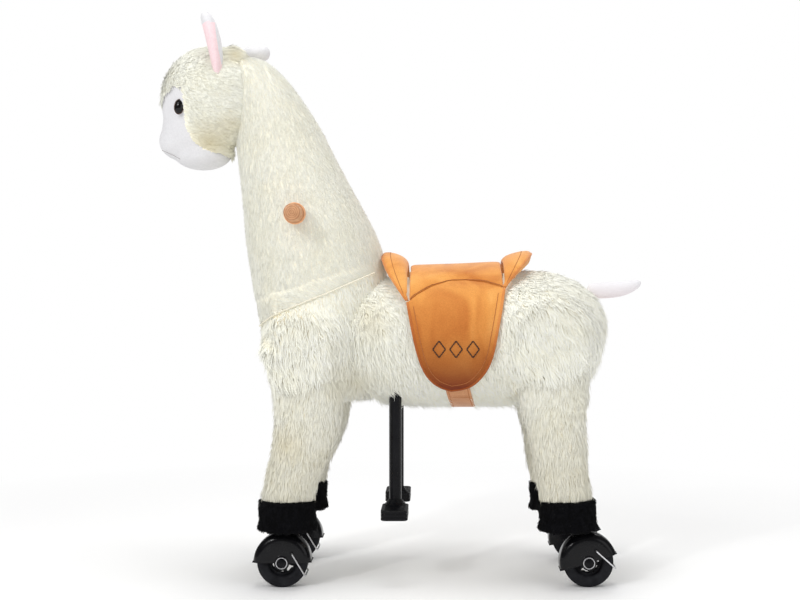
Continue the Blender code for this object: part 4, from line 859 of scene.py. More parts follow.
# %% eyes
EYE_SIZE = Vector((0.0115, 0.009, 0.0185))
EYE_TILT = Matrix.Rotation(radians(6), 3, "Y")
EYE_PLACE = HEAD + Vector((HEAD_SIZE.x * -0.245, 0, HEAD_SIZE.z * -0.115))
EYE_LIFT, RIM_RADIUS, RIM_GAP = 0.0012, 0.0006, 0.0003
eye_gloss = Finish("polished_black_eye", (0.004, 0.003, 0.004), 0.06, Specular_IOR_Level=0.35)
eye_gloss.speckled(90, 1, (0.002, 0.002, 0.003), (0.006, 0.004, 0.003), high=0.8)
eye_brown = Finish("brown_eye_rim", (0.10, 0.055, 0.035), 0.35)
eye_brown.speckled(300, 1, (0.07, 0.04, 0.03), (0.13, 0.07, 0.045))
head_tree = BVHTree.FromBMesh(head_roots)
for side, sign in SIDES:
    place, normal = head_tree.ray_cast(EYE_PLACE + ACROSS * sign * 0.3, ACROSS * -sign)[:2]
    place += normal * EYE_LIFT
    eye_shape = bmesh.new()
    bmesh.ops.create_uvsphere(eye_shape, u_segments=32, v_segments=20, radius=0.5)
    put(eye_shape, place, EYE_TILT, EYE_SIZE)
    piece(f"eye_glass_{side}", eye_shape, eye_gloss, "steering", [f"eye_{side}"])
    rim_shape = bmesh.new()
    bmesh.ops.create_circle(rim_shape, segments=8, radius=RIM_RADIUS)
    put(rim_shape, (0.5, 0, 0), Matrix.Rotation(pi / 2, 3, "X"))
    bmesh.ops.spin(rim_shape, geom=rim_shape.verts[:] + rim_shape.edges[:], cent=(0, 0, 0), axis=(0, 0, 1),
                   angle=2 * pi, steps=36, use_merge=True)
    for vert in rim_shape.verts:
        reach = Vector((vert.co.x, vert.co.y, 0))
        wide, fat = reach.normalized(), reach.length - 0.5 + RIM_GAP
        vert.co = Vector((wide.x * (EYE_SIZE.x / 2 + fat), vert.co.z - RIM_RADIUS, wide.y * (EYE_SIZE.z / 2 + fat)))
    bmesh.ops.recalc_face_normals(rim_shape, faces=rim_shape.faces)
    piece(f"eye_rim_{side}", put(rim_shape, place, EYE_TILT), eye_brown, "steering")

# %% [markdown]
# Now the pile goes on. The trunk's fur is combed backwards and down and hangs longest under the belly, where its tips
# make a ragged edge. No fur grows where the saddle sits.

# %% fur of the trunk
SADDLE_START, SADDLE_END = 0.012, 0.134
SKIRT_HEM = 0.2508
CANTLE_LENGTH = 0.040


def under_saddle(places):
    """Roots that the saddle and its strap press flat."""
    x, z = places[:, 0], places[:, 2]
    seat = (x > SADDLE_START - 0.012) & (x < SADDLE_END + 0.010) & (z > 0.385)
    return seat | inside_outline(x, z, SADDLE_INSIDE) | ((x > 0.060) & (x < 0.088) & (z < SKIRT_HEM + 0.01))


SADDLE_INSIDE = [(-0.012, 0.41), (0.004, 0.372), (0.016, 0.345), (0.024, 0.31), (0.030, 0.284), (0.044, 0.266),
                 (0.066, 0.258), (0.092, 0.262), (0.108, 0.278), (0.117, 0.30), (0.122, 0.33), (0.130, 0.362),
                 (0.142, 0.385), (0.160, 0.41)]


def within_leg(places):
    wide = abs(places[:, 1])
    return (wide > POCKET_SIDE + 0.004) & (wide < TRACK_HALF + 0.012)


def trunk_comb(places, normals):
    top = np.maximum(normals[:, 2], 0)
    return np.stack([0.38 + 0.3 * top, np.sign(places[:, 1]) * 0.75 * top, np.full(len(places), -1.0)], axis=1)


def trunk_keep(places, normals):
    pocket = in_arch(places, HIP, 0.050, HIP.x - 0.042, HIP.x + 0.056) & within_leg(places)
    reach = np.hypot(places[:, 0] - STEER.x, places[:, 1])
    return ~(under_saddle(places) | pocket | (reach < TURN_RADIUS - 0.014)) & ragged(places, HIP)


def hanging(base, more):
    return lambda places, normals: base + more * np.maximum(-normals[:, 2], 0)


def trunk_length(places):
    """Shorter along the back, where the pile lies down."""
    return 0.024 - 0.009 * np.clip((places[:, 2] - 0.345) / 0.045, 0, 1)


QUICK = 1.0
for index, (side, sign) in enumerate(SIDES):
    pile(f"trunk_pile_{side}", trunk_roots, int(65000 * QUICK), trunk_length, 0.0018, trunk_comb, cream_pile, "frame",
         11 + index, lift=hanging(0.18, 0.40), gather=0.2,
         keep=lambda places, normals: trunk_keep(places, normals) & (places[:, 1] * sign > 0))

# %% [markdown]
# The neck's pile is shorter and lies close, so it looks almost smooth, while the chest below the zip is as shaggy as
# the trunk.

# %% fur of neck and chest
ZIP_FRONT = (STEER.x - NECK_FRONT * 0.67, along(NECK_BASE, CROWN, 0.197))
ZIP_BACK = (STEER.x + TURN_RADIUS * 0.89, along(NECK_BASE, CROWN, 0.360))


def above_zip(places):
    share = (places[:, 0] - ZIP_FRONT[0]) / (ZIP_BACK[0] - ZIP_FRONT[0])
    return places[:, 2] - (ZIP_FRONT[1] + (ZIP_BACK[1] - ZIP_FRONT[1]) * share)


def zip_band(places):
    """Height over the zip as a share of the band above it, which is wide in front and narrow behind."""
    back = np.clip((places[:, 0] - ZIP_FRONT[0]) / (ZIP_BACK[0] - ZIP_FRONT[0]), 0, 1)
    return above_zip(places) / (0.036 - 0.020 * back)


def neck_comb(places, normals):
    band = abs(zip_band(places) - 0.5) < 0.5
    return np.where(band[:, None], (0.9, 0.0, -0.6), (0.22, 0.0, -1.0))


def neck_length(places):
    """Short beside the zip and along the crease above it."""
    band = zip_band(places)
    crease = np.clip(np.minimum(abs(band), abs(band - 1.05)) / 0.16, 0.45, 1)
    return 0.0105 * crease


def chest_keep(places, normals):
    pocket = in_arch(places, STEER, 0.042, STEER.x - 0.038, STEER.x + 0.044) & within_leg(places)
    room = np.where(places[:, 2] < STEER.z + 0.053, LEG_TURN_RADIUS, TURN_RADIUS + 0.006)
    back = np.hypot(places[:, 0] - STEER.x, places[:, 1]) > room
    return (above_zip(places) < 0.002) & ~pocket & ~back & ragged(places, STEER)


def chest_length(places):
    """Short under the zip, full length a hand's width lower."""
    return 0.012 + 0.012 * np.clip(-above_zip(places) / 0.035, 0, 1)


def neck_keep(places, normals):
    inside_head = ((places - np.array(HEAD)) / (np.array(HEAD_SIZE) / 2 - 0.006))
    buried = (inside_head ** 2).sum(axis=1) < 1
    return (above_zip(places) > 0.001) & ~buried


for index, (side, sign) in enumerate(SIDES):
    pile(f"neck_pile_{side}", neck_roots, int(122000 * QUICK), neck_length, 0.0012, neck_comb, short_pile, "steering",
         13 + index, lift=0.16, gather=0.12, rings=(),
         keep=lambda places, normals: neck_keep(places, normals) & (places[:, 1] * sign > 0))
    pile(f"chest_pile_{side}", neck_roots, int(57000 * QUICK), chest_length, 0.0018, neck_comb, cream_pile, "steering",
         15 + index, lift=hanging(0.19, 0.40), gather=0.2,
         keep=lambda places, normals: chest_keep(places, normals) & (places[:, 1] * sign > 0))

# %% [markdown]
# The legs' pile falls straight down and ends in a fringe over the hoof.

# %% fur of the legs
for index, (where, side) in enumerate(ENDS):
    skin, cuff_top, line = leg_skins[where, side]

    def leg_comb(places, normals):
        return np.tile(np.array([line.x * 0.6, 0, -1.0]), (len(places), 1))

    def leg_keep(places, normals):
        above = (places - np.array(cuff_top)) @ np.array(line) < -0.001
        return above & (places[:, 2] < LEGS[where][1].z + 0.012)

    pile(f"leg_pile_{where}_{side}", skin, int(15500 * QUICK), 0.0185, 0.0017, leg_comb, leg_pile, f"{where}_legs",
         20 + index, keep=leg_keep, lift=0.2)

# %% [markdown]
# On the head the pile is brushed back from the brow and swirls down over the cheek. The face is sheared so short that
# its backing alone stands for it.

# %% fur of the head
def head_comb(places, normals):
    low = np.clip((HEAD.z - places[:, 2]) / 0.05, 0, 1)
    return np.stack([0.9 - 0.2 * low, 0 * low, -0.45 + 0.30 * low], axis=1)


def cap_keep(places, normals):
    face = inside_outline(places[:, 0] + 0.0022, places[:, 2], FACE_EDGE)
    neck_side = (places[:, 0] - STEER.x) > -0.068
    return ~(face | neck_side)


pile("cap_pile", head_roots, int(29000 * QUICK), 0.0140, 0.0017, head_comb, short_pile, "steering", 31,
     keep=cap_keep, lift=0.18, gather=0.22, wave=0.14, skin_light=0.80)

# %% [markdown]
# The saddle's cover is brushed suede over foam. Suede has no shine: the nap lies this way and that, so it shows broad
# light and dark patches, with a fine grain on top. Its piping is the same hide, rolled round a cord.

# %% suede finishes
SUEDE_LIGHT, SUEDE_MIDDLE, SUEDE_DARK = (0.89, 0.45, 0.128), (0.78, 0.33, 0.075), (0.58, 0.19, 0.037)


def suede(name, light, middle, dark, low_shade=(0.80, 0.70, 0.66)):
    """Brushed hide, painted darker towards its lower end: painted shade."""
    finish = Finish(name, middle, 0.9, Sheen_Weight=0.35, Sheen_Roughness=0.4, Specular_IOR_Level=0.2)
    patches = finish.noise(17, 3, finish.stretched((1.0, 1.0, 0.55)), distortion=0.6)
    brushed = finish.ramp(patches, [(0.30, dark), (0.50, middle), (0.70, light)])
    grain = finish.noise(700, 2)
    fine = finish.ramp(grain, [(0.3, (0.86, 0.84, 0.82)), (0.7, WHITE)])
    # Painted shade: the hide darkens towards the bottom of the skirts and under the belly.
    fade = finish.by_height(0.25, 0.40, [(0.0, low_shade), (0.45, (0.82, 0.73, 0.68)), (0.75, WHITE)])
    return finish.colour(finish.times(brushed, fine, fade)).bump(patches, 0.0012).bump(grain, 0.0002)


suede_seat = suede("brushed_suede", SUEDE_LIGHT, SUEDE_MIDDLE, SUEDE_DARK, low_shade=(0.26, 0.09, 0.04))
suede_piping = suede("suede_piping", (0.80, 0.34, 0.10), (0.68, 0.25, 0.062), (0.52, 0.16, 0.036),
                     low_shade=(0.50, 0.32, 0.25))
suede_strap = suede("light_strap", (0.86, 0.50, 0.28), (0.78, 0.42, 0.21), (0.66, 0.32, 0.15))
dark_thread = Finish("dark_thread", (0.035, 0.012, 0.006), 0.7)
dark_thread.speckled(900, 1, (0.02, 0.007, 0.004), (0.06, 0.022, 0.01))
# Seams are a darker brown than the hide: real sewing, painted darker as well for the shade in its groove.
seam_thread_and_shade = Finish("seam_shade", (0.46, 0.16, 0.04), 0.8)
seam_thread_and_shade.speckled(900, 1, (0.34, 0.10, 0.022), (0.46, 0.16, 0.04))
print("suede and thread finishes made")

# %% [markdown]
# Leather work follows the body under it. Two helpers find a place on the trunk's form, from the side or from above,
# and a third shapes a flat grid over those places.

# %% helpers for work on the trunk
body_tree = BVHTree.FromBMesh(body_form(rounds=4))
BODY_MIDDLE = (BELLY + BACK) / 2
SADDLE_CENTRE = Vector((0.07, 0, BODY_MIDDLE))


def beside(x, z, sign, lift=0.0):
    """The place on the trunk's side at a given length and height, lifted off it."""
    place, normal = body_tree.ray_cast(Vector((x, sign, z)), Vector((0, -sign, 0)))[:2]
    return place + normal * lift


def around(x, angle, lift=0.0):
    """The place on the trunk at an angle from its top, towards +Y, lifted off it."""
    out = Vector((0, sin(angle), cos(angle)))
    place, normal = body_tree.ray_cast(Vector((x, 0, BODY_MIDDLE)) + out * 0.5, -out)[:2]
    return place + normal * lift


def outward(shape, centre):
    """Turn an open sheet so that it faces away from a place."""
    facing = sum(face.normal.dot(face.calc_center_median() - centre) * face.calc_area() for face in shape.faces)
    if facing < 0:
        bmesh.ops.reverse_faces(shape, faces=shape.faces)
    return shape


def draped(columns, rows, place):
    """A grid whose points go to place(u, v), both from 0 to 1, facing away from the trunk."""
    shape = bmesh.new()
    bmesh.ops.create_grid(shape, x_segments=columns, y_segments=rows, size=0.5)
    for vert in shape.verts:
        vert.co = place(vert.co.x + 0.5, vert.co.y + 0.5)
    bmesh.ops.remove_doubles(shape, verts=shape.verts, dist=1e-5)
    shape.normal_update()
    return outward(shape, SADDLE_CENTRE)


def read_along(line, share):
    """A place at a share of the length of a line of (x, z) points."""
    points = [Vector(point) for point in line]
    lengths = [(after - before).length for before, after in zip(points, points[1:])]
    reach = share * sum(lengths)
    for before, after, length in zip(points, points[1:], lengths):
        if reach <= length + 1e-9:
            return before.lerp(after, min(reach / length, 1.0))
        reach -= length
    return points[-1]


def tube(points, radius, sides=8):
    """A round cord through points, as a bmesh."""
    curve = bpy.data.curves.new("cord", "CURVE")
    curve.dimensions = "3D"
    curve.bevel_depth = radius
    curve.bevel_resolution = sides // 4
    curve.use_fill_caps = True
    spline = curve.splines.new("POLY")
    spline.points.add(len(points) - 1)
    for point, place in zip(spline.points, points):
        point.co = (*place, 1)
    shape = drawn(in_scene("cord", curve))
    bmesh.ops.remove_doubles(shape, verts=shape.verts, dist=1e-6)
    return shape


def hugging(points, tree, lift):
    """Move a line of places onto a surface, lifted off it."""
    line = []
    for point in points:
        place, normal = tree.find_nearest(Vector(point))[:2]
        line.append(place + normal * lift)
    return line


print("trunk's form spans", round(BELLY, 4), "to", round(BACK, 4))

# %% [markdown]
# A foam pad swells against its cover. Each padded saddle piece is remeshed evenly, filled by a short cloth simulation
# with air pressure and no gravity, and held back so that no point travels more than a few millimetres.


# %% stuffing by simulation
PRESSURE, FILLING_FRAMES = 4.0, 14


def puffed(shape, voxel, cap):
    shape = worked(shape, ("REMESH", {"mode": "VOXEL", "voxel_size": voxel}))
    mesh = bpy.data.meshes.new("cover")
    shape.to_mesh(mesh)
    cover = in_scene("cover", mesh)
    cloth = cover.modifiers.new("stuffing", "CLOTH")
    cloth.settings.use_pressure = True
    cloth.settings.uniform_pressure_force = PRESSURE
    cloth.settings.effector_weights.gravity = 0
    for frame_number in range(1, FILLING_FRAMES + 1):
        bpy.context.scene.frame_set(frame_number)
    filled = cover.evaluated_get(bpy.context.evaluated_depsgraph_get())
    shape.verts.ensure_lookup_table()
    for vert, moved_vert in zip(shape.verts, filled.data.vertices):
        travel = moved_vert.co - vert.co
        if travel.length > cap:
            travel = travel.normalized() * cap
        vert.co += travel
    bpy.data.objects.remove(cover)
    bpy.context.scene.frame_set(1)
    return worked(shape, ("SMOOTH", {"factor": 0.5, "iterations": 3}), divided(1))


print("stuffing helper ready")

# %% [markdown]
# The seat is a foam pad across the back. Its lower edges follow the arched seam where the skirts are sewn on.

# %% saddle seat
SADDLE_LENGTH = SADDLE_END - SADDLE_START
SEAM_HEIGHT = 0.366
SKIRT_HEIGHT = SEAM_HEIGHT - SKIRT_HEM
SEAM = [(0.00, 0.92), (0.10, 1.00), (0.24, 1.08), (0.42, 1.14), (0.60, 1.15), (0.80, 1.13), (1.00, 1.07)]
SEAT_PAD, EDGE_PAD = 0.0075, 0.0055


def saddle_place(across, up):
    return SADDLE_START + SADDLE_LENGTH * across, SKIRT_HEM + SKIRT_HEIGHT * up


def seam_height(x):
    return float(np.interp((x - SADDLE_START) / SADDLE_LENGTH, [across for across, up in SEAM],
                           [SKIRT_HEM + SKIRT_HEIGHT * up for across, up in SEAM]))


def seat_place(u, v):
    x = along(SADDLE_START + 0.0008, SADDLE_END - 0.0006, u)
    edge = beside(x, seam_height(x), 1)
    reach = atan2(edge.y, edge.z - BODY_MIDDLE)
    crown = 1 - (2 * v - 1) ** 4
    return around(x, along(-reach, reach, v), along(EDGE_PAD, SEAT_PAD, crown))


seat_shape = draped(36, 64, seat_place)
seat_shape = puffed(worked(seat_shape, thickened(0.0075)), voxel=0.003, cap=0.0016)
seat_tree = BVHTree.FromBMesh(seat_shape)
piece("saddle_seat_pad", seat_shape, suede_seat, "frame", ["saddle_seat"])

# %% [markdown]
# Pommel and cantle are stuffed lips at the front and back of the seat. Each crosses the back like a bridge, rises to a
# rounded point and narrows to nothing down the sides, so from the side it looks like a leaf.

# %% pommel and cantle
POMMEL_TIP, CANTLE_TIP = 0.0270, 0.0205
LIP_SECTION = [(0.00, 0.28), (0.06, 0.50), (0.18, 0.68), (0.38, 0.84), (0.62, 0.95), (0.82, 1.00), (0.93, 0.985),
               (0.99, 0.90), (1.00, 0.74), (0.97, 0.42), (0.91, 0.06)]


def lip_place(u, angle, side, start, end, tip, power):
    """A point on a lip: out from the seat over its rounded edge and down its far face."""
    across, share = read_along(LIP_SECTION, u)
    height = along(tip, EDGE_PAD, side ** power)
    seat_level = along(SEAT_PAD, EDGE_PAD, side ** 4)
    rise = height * share + (seat_level - height * LIP_SECTION[0][1]) * (1 - across) ** 3
    return around(along(start, end, across), angle, rise)


def pommel_place(u, v):
    side = abs(2 * v - 1)
    front = along(-0.0225, 0.0102, side ** 2.4)
    return lip_place(u, along(-1.10, 1.10, v), side, SADDLE_START + 0.0004, front, POMMEL_TIP, 1.5)


def cantle_place(u, v):
    side = abs(2 * v - 1)
    width = max(CANTLE_LENGTH * (1 - side ** 1.9), 0.0015)
    return lip_place(u, along(-0.93, 0.93, v), side, SADDLE_END - 0.0004, SADDLE_END + width, CANTLE_TIP, 1.4)


LIPS = {"pommel": pommel_place, "cantle": cantle_place}
LIP_THICKNESS = 0.0050
lip_trees = {}
for name, place in LIPS.items():
    lip_shape = draped(30, 60, place)
    lip_shape = puffed(worked(lip_shape, thickened(LIP_THICKNESS)), voxel=0.0028, cap=0.0014)
    lip_trees[name] = BVHTree.FromBMesh(lip_shape)
    piece(f"saddle_{name}_pad", lip_shape, suede_seat, "frame", [f"saddle_{name}"])

# %% [markdown]
# A skirt hangs down each side as one thick layer of hide. It is a grid stretched between the seam above and the two
# sides of its rounded hem, laid on the trunk and given its thickness outwards.

# %% saddle skirts
SKIRT_FRONT = [(0.00, 0.92), (0.06, 0.60), (0.13, 0.30), (0.21, 0.14), (0.32, 0.04), (0.45, 0.00)]
SKIRT_BACK = [(1.00, 1.07), (0.95, 0.80), (0.90, 0.55), (0.87, 0.38), (0.81, 0.22), (0.70, 0.08), (0.60, 0.02),
              (0.45, 0.00)]
SKIRT_PAD, SKIRT_THICKNESS = 0.0048, 0.0030


def smooth_line(line, count):
    """A polyline redrawn as a soft curve with evenly spread points."""
    shape = bmesh.new()
    verts = [shape.verts.new((x, 0, z)) for x, z in line]
    for first, second in zip(verts, verts[1:]):
        shape.edges.new((first, second))
    shape = worked(shape, divided(3))
    shape.verts.ensure_lookup_table()
    start = min((vert for vert in shape.verts if len(vert.link_edges) == 1),
                key=lambda vert: (Vector((vert.co.x, vert.co.z)) - Vector(line[0])).length)
    ordered, edge = [start], start.link_edges[0]
    while edge:
        nearest_vert = edge.other_vert(ordered[-1])
        ordered.append(nearest_vert)
        edge = next((other for other in nearest_vert.link_edges if other != edge), None)
    soft = [(vert.co.x, vert.co.z) for vert in ordered]
    shape.free()
    return [tuple(read_along(soft, step / (count - 1))) for step in range(count)]


front_line = smooth_line([saddle_place(*share) for share in SKIRT_FRONT], 40)
back_line = smooth_line([saddle_place(*share) for share in SKIRT_BACK], 40)


def skirt_flat(u, v):
    front, back = read_along(front_line, v), read_along(back_line, v)
    x, z = front.lerp(back, u)
    top = seam_height(x) - along(front_line[0][1], back_line[0][1], u)
    return x, z + top * (1 - v) ** 2


skirt_trees = {}
for side, sign in SIDES:
    def skirt_place(u, v):
        x, z = skirt_flat(u, min(v, 0.995))
        return beside(x, z - 0.0003, sign, SKIRT_PAD)

    skirt_shape = draped(40, 40, skirt_place)
    skirt_trees[side] = BVHTree.FromBMesh(skirt_shape)
    skirt_shape = worked(skirt_shape, thickened(SKIRT_THICKNESS))
    piece(f"saddle_skirt_leather_{side}", skirt_shape, suede_seat, "frame",
          [f"saddle_skirt_{side}"], sharp=60)

# %% [markdown]
# Piping closes each edge, and a row of sewing runs just inside it, painted a darker brown that is partly the shade of
# its groove. Both follow the skirt's outline, set back a little, and are laid on the hide with the nearest point of its
# surface.

# %% piping and seams
PIPING_RADIUS, SEAM_RADIUS, SEAM_INSET = 0.0019, 0.00042, 0.0065


def set_in(line, distance, middle=(0.075, 0.33)):
    """An outline drawn in towards its middle by a distance."""
    points = [Vector(point) for point in line]
    result = []
    for index, point in enumerate(points):
        before, after = points[max(index - 1, 0)], points[min(index + 1, len(points) - 1)]
        step = (after - before).normalized()
        normal = Vector((-step.y, step.x))
        if normal.dot(Vector(middle) - point) < 0:
            normal.negate()
        result.append(tuple(point + normal * distance))
    return result


hem_line = front_line + back_line[::-1][1:]
seam_line = [(x, seam_height(x)) for x in np.linspace(SADDLE_START + 0.001, SADDLE_END - 0.001, 40)]
inset_line = set_in(hem_line, SEAM_INSET)
for side, sign in SIDES:
    piping = tube([beside(x, z, sign, SKIRT_PAD - 0.0008) for x, z in hem_line], PIPING_RADIUS)
    piece(f"skirt_piping_{side}", piping, suede_piping, "frame")
    seams = [tube(hugging([beside(x, z, sign, SKIRT_PAD) for x, z in inset_line[2:-2]], skirt_trees[side], 0.0001),
                  SEAM_RADIUS, 6),
             tube(hugging([beside(x, z, sign, SKIRT_PAD + 0.003) for x, z in seam_line], seat_tree, 0.0),
                  SEAM_RADIUS * 1.3, 6)]
    piece(f"skirt_seams_{side}", join(seams), seam_thread_and_shade, "frame")

for name, place in LIPS.items():
    edge = [place(0.66, v) for v in np.linspace(0.0, 1.0, 90)]
    lip_piping = tube(hugging(edge, lip_trees[name], -0.0004), PIPING_RADIUS)
    piece(f"{name}_piping", lip_piping, suede_piping, "frame")
    inner = [place(0.46, v) for v in np.linspace(0.04, 0.96, 90)]
    piece(f"{name}_seam", tube(hugging(inner, lip_trees[name], 0.0), SEAM_RADIUS, 6), seam_thread_and_shade, "frame")

# %% [markdown]
# A plain stitched decoration sits low on each skirt: three small diamonds in dark thread. Every stitch is its own
# short rounded piece of thread that dips into the hide at both ends.

# %% stitched diamonds
DIAMOND_MIDDLES = [(0.0515, 0.3020), (0.0725, 0.3020), (0.0935, 0.3020)]
DIAMOND_HALF, STITCHES_PER_SIDE, STITCH_SHARE = 0.0078, 4, 0.72
for side, sign in SIDES:
    stitches = []
    for middle_x, middle_z in DIAMOND_MIDDLES:
        corners = [(middle_x + DIAMOND_HALF * across, middle_z + DIAMOND_HALF * up)
                   for across, up in ((0, 1.25), (1, 0), (0, -1.25), (-1, 0))]
        for start, end in zip(corners, corners[1:] + corners[:1]):
            for stitch in range(STITCHES_PER_SIDE):
                shares = [(stitch + STITCH_SHARE * part / 3 + 0.14) / STITCHES_PER_SIDE for part in range(4)]
                flat = [Vector(start).lerp(Vector(end), share) for share in shares]
                lifts = (-0.0001, 0.0005, 0.0005, -0.0001)
                line = [beside(x, z, sign, SKIRT_PAD + lift) for (x, z), lift in zip(flat, lifts)]
                stitches.append(tube(line, 0.0008, 4))
    piece(f"stitched_diamonds_{side}", join(stitches), dark_thread, "frame")

# %% [markdown]
# The zip between neck and chest is covered by a thin cord that shows between the two lengths of pile. The mouth is
# one row of grey thread, which also pulls the chin in.

# %% zip cord and mouth
CORD_RADIUS, CORD_RISE, MOUTH_RADIUS = 0.0010, 0.0030, 0.0005
MOUTH = [(-0.3160, 0.5600), (-0.3080, 0.5565), (-0.2980, 0.5520), (-0.2890, 0.5470)]
cord_finish = Finish("zip_cord", (0.84, 0.80, 0.66), 0.8).speckled(500, 2, (0.76, 0.70, 0.54), (0.90, 0.88, 0.76))
mouth_thread = Finish("mouth_thread", (0.42, 0.40, 0.40), 0.8).speckled(900, 1, (0.34, 0.32, 0.32), (0.5, 0.48, 0.48))


def laid_from_side(points, tree, sign, lift):
    """A line of (x, z) points laid on a surface from one side."""
    hits = [tree.ray_cast(Vector((x, sign, z)), ACROSS * -sign) for x, z in points]
    return [place + normal * lift for place, normal, index, distance in hits if place]


zip_line = [(x, along(ZIP_FRONT[1], ZIP_BACK[1], (x - ZIP_FRONT[0]) / (ZIP_BACK[0] - ZIP_FRONT[0])))
            for x in np.linspace(ZIP_FRONT[0] + 0.004, ZIP_BACK[0] - 0.004, 60)]
mouth_line = [read_along(MOUTH, share) for share in np.linspace(0, 1, 30)]
neck_tree = BVHTree.FromBMesh(neck_roots)
for side, sign in SIDES:
    cord = tube(laid_from_side(zip_line, neck_tree, sign, CORD_RISE), CORD_RADIUS)
    piece(f"zip_cord_{side}", cord, cord_finish, "steering")
    mouth = tube(laid_from_side(mouth_line, head_tree, sign, 0.0001), MOUTH_RADIUS)
    piece(f"mouth_stitch_{side}", mouth, mouth_thread, "steering")

# %% [markdown]
# The girth is a flat strap under the belly that holds the saddle. Rows of stitches cross it near each end, where it
# leaves the skirt.

# %% girth strap
STRAP_START = SADDLE_START + SADDLE_LENGTH * 0.38
STRAP_WIDTH, STRAP_THICKNESS, STRAP_LIFT = 0.031, 0.0022, 0.0030
STRAP_SEAM_RADIUS = 0.0004


def strap_place(u, v):
    side_low = beside(0.075, SKIRT_HEM + 0.006, 1)
    reach = atan2(side_low.y, side_low.z - BODY_MIDDLE)
    slant = 0.010 * sin(pi * v)
    return around(STRAP_START + slant + STRAP_WIDTH * u, along(reach, 2 * pi - reach, v), STRAP_LIFT)


strap_shape = draped(8, 72, strap_place)
strap_shape = worked(strap_shape, thickened(STRAP_THICKNESS),
                     ("BEVEL", {"width": 0.0006, "segments": 2, "limit_method": "ANGLE"}))
piece("girth_strap_hide", strap_shape, suede_strap, "frame", ["girth_strap"])
strap_lines = [[strap_place(u, v) for v in np.linspace(0.01, 0.99, 90)] for u in (0.10, 0.90)]
strap_lines += [[strap_place(u, v) for u in np.linspace(0.1, 0.9, 10)] for v in (0.11, 0.13, 0.87, 0.89)]
strap_seams = [tube(line, STRAP_SEAM_RADIUS, 4) for line in strap_lines]
piece("girth_strap_seams", join(strap_seams), seam_thread_and_shade, "frame")

# %% [markdown]
# Hard parts have plain finishes. Moulded plastic is glossy with faint scuffs, the tyres are matt and dusty, and bolts
# and wires are zinc plated.

# %% hard finishes
def black_finish(name, colour, roughness, shine, speckles, grain, depth, high=0.8):
    """Black with a drift between two shades and a fine relief; speckles are scale, detail, dark and light."""
    finish = Finish(name, colour, roughness, Specular_IOR_Level=shine).speckled(*speckles, high=high)
    return finish.bump(finish.noise(*grain), depth)


gloss_black = black_finish("gloss_black_plastic", (0.004, 0.004, 0.005), 0.14, 0.2,
                           (60, 4, (0.003, 0.003, 0.004), (0.007, 0.007, 0.008)), (420, 2), 0.00008)
gloss_black.rough(gloss_black.noise(60, 4), 0.10, 0.24)
tyre_black = black_finish("matt_tyre", (0.010, 0.010, 0.012), 0.6, 0.15,
                          (120, 4, (0.006, 0.006, 0.008), (0.016, 0.017, 0.020)), (900, 2), 0.00015, high=0.75)
powder_black = black_finish("black_powder_coat", (0.006, 0.006, 0.007), 0.38, 0.15,
                            (80, 2, (0.004, 0.004, 0.005), (0.009, 0.009, 0.011)), (1400, 1), 0.0001)
satin_black = black_finish("satin_black_plastic", (0.005, 0.005, 0.006), 0.26, 0.15,
                           (70, 3, (0.003, 0.003, 0.004), (0.008, 0.008, 0.010)), (500, 2), 0.0001)
zinc = Finish("zinc_plate", (0.68, 0.68, 0.70), 0.28, Metallic=1.0)
zinc.speckled(400, 2, (0.58, 0.58, 0.60), (0.78, 0.78, 0.80)).rough(zinc.noise(900, 2), 0.18, 0.36)
plywood = Finish("plywood", (0.62, 0.45, 0.27), 0.6)
layers = plywood.noise(60, 3, plywood.stretched((0.2, 1.0, 8.0)))
plywood.colour(plywood.ramp(layers, [(0.35, (0.50, 0.33, 0.18)), (0.65, (0.70, 0.52, 0.32))]))
COATED = ("spine_frame", "pedal_guide", "steering_column", "front_cross_tube", "rear_cross_tube", "leg_tube",
          "pedal_crossbar", "front_link_bar", "rear_link_bar")
FRAME_FINISHES = {COATED: powder_black, ("pedal_post",): satin_black, ("wire_bail",): zinc, ("saddle_board",): plywood}
finished = 0
for name, part in nodes.items():
    for starts, finish in FRAME_FINISHES.items():
        if name.startswith(starts):
            finished += 1
            for slot in part.material_slots:
                slot.material = finish.material
print(finished, "frame parts finished")

# %% [markdown]
# The handle is one turned beech bar through the neck, with a raised ring near each end. A lathe makes it, so here a
# profile is spun round the bar's middle line. Growth rings show on the sawn ends and long grain along the side.

# %% wooden handle
HANDLE = Vector((STEER.x, 0, 0.471))
HANDLE_REACH, HANDLE_RADIUS = 0.135, 0.0106
COLLAR_RADIUS, COLLAR_LENGTH, COLLAR_INSET = 0.0137, 0.012, 0.028
beech = Finish("turned_beech", (0.78, 0.50, 0.30), 0.5)
rings = beech.add("TexWave", {"wave_type": "RINGS", "rings_direction": "Y"}, Scale=130, Distortion=3.0, Detail=2.0,
                  Vector=beech.stretched((1, 1, 1), HANDLE)).outputs["Fac"]
grain = beech.noise(160, 3, beech.stretched((1.0, 0.06, 1.0), HANDLE))
ringed = beech.ramp(rings, [(0.2, (0.50, 0.23, 0.105)), (0.8, (0.66, 0.36, 0.185))])
grained = beech.ramp(grain, [(0.35, (0.82, 0.78, 0.74)), (0.65, WHITE)])
pale = beech.ramp(beech.spot(HANDLE, (0.02, 100, 0.02)), [(0.33, (1.35, 1.30, 1.25)), (0.42, WHITE)])
beech.colour(beech.times(ringed, grained, pale)).rough(grain, 0.42, 0.6).bump(grain, 0.00015)


def mirrored(profile):
    """A profile of (radius, offset) followed by its mirror image."""
    return profile + [(radius, -offset) for radius, offset in reversed(profile)]


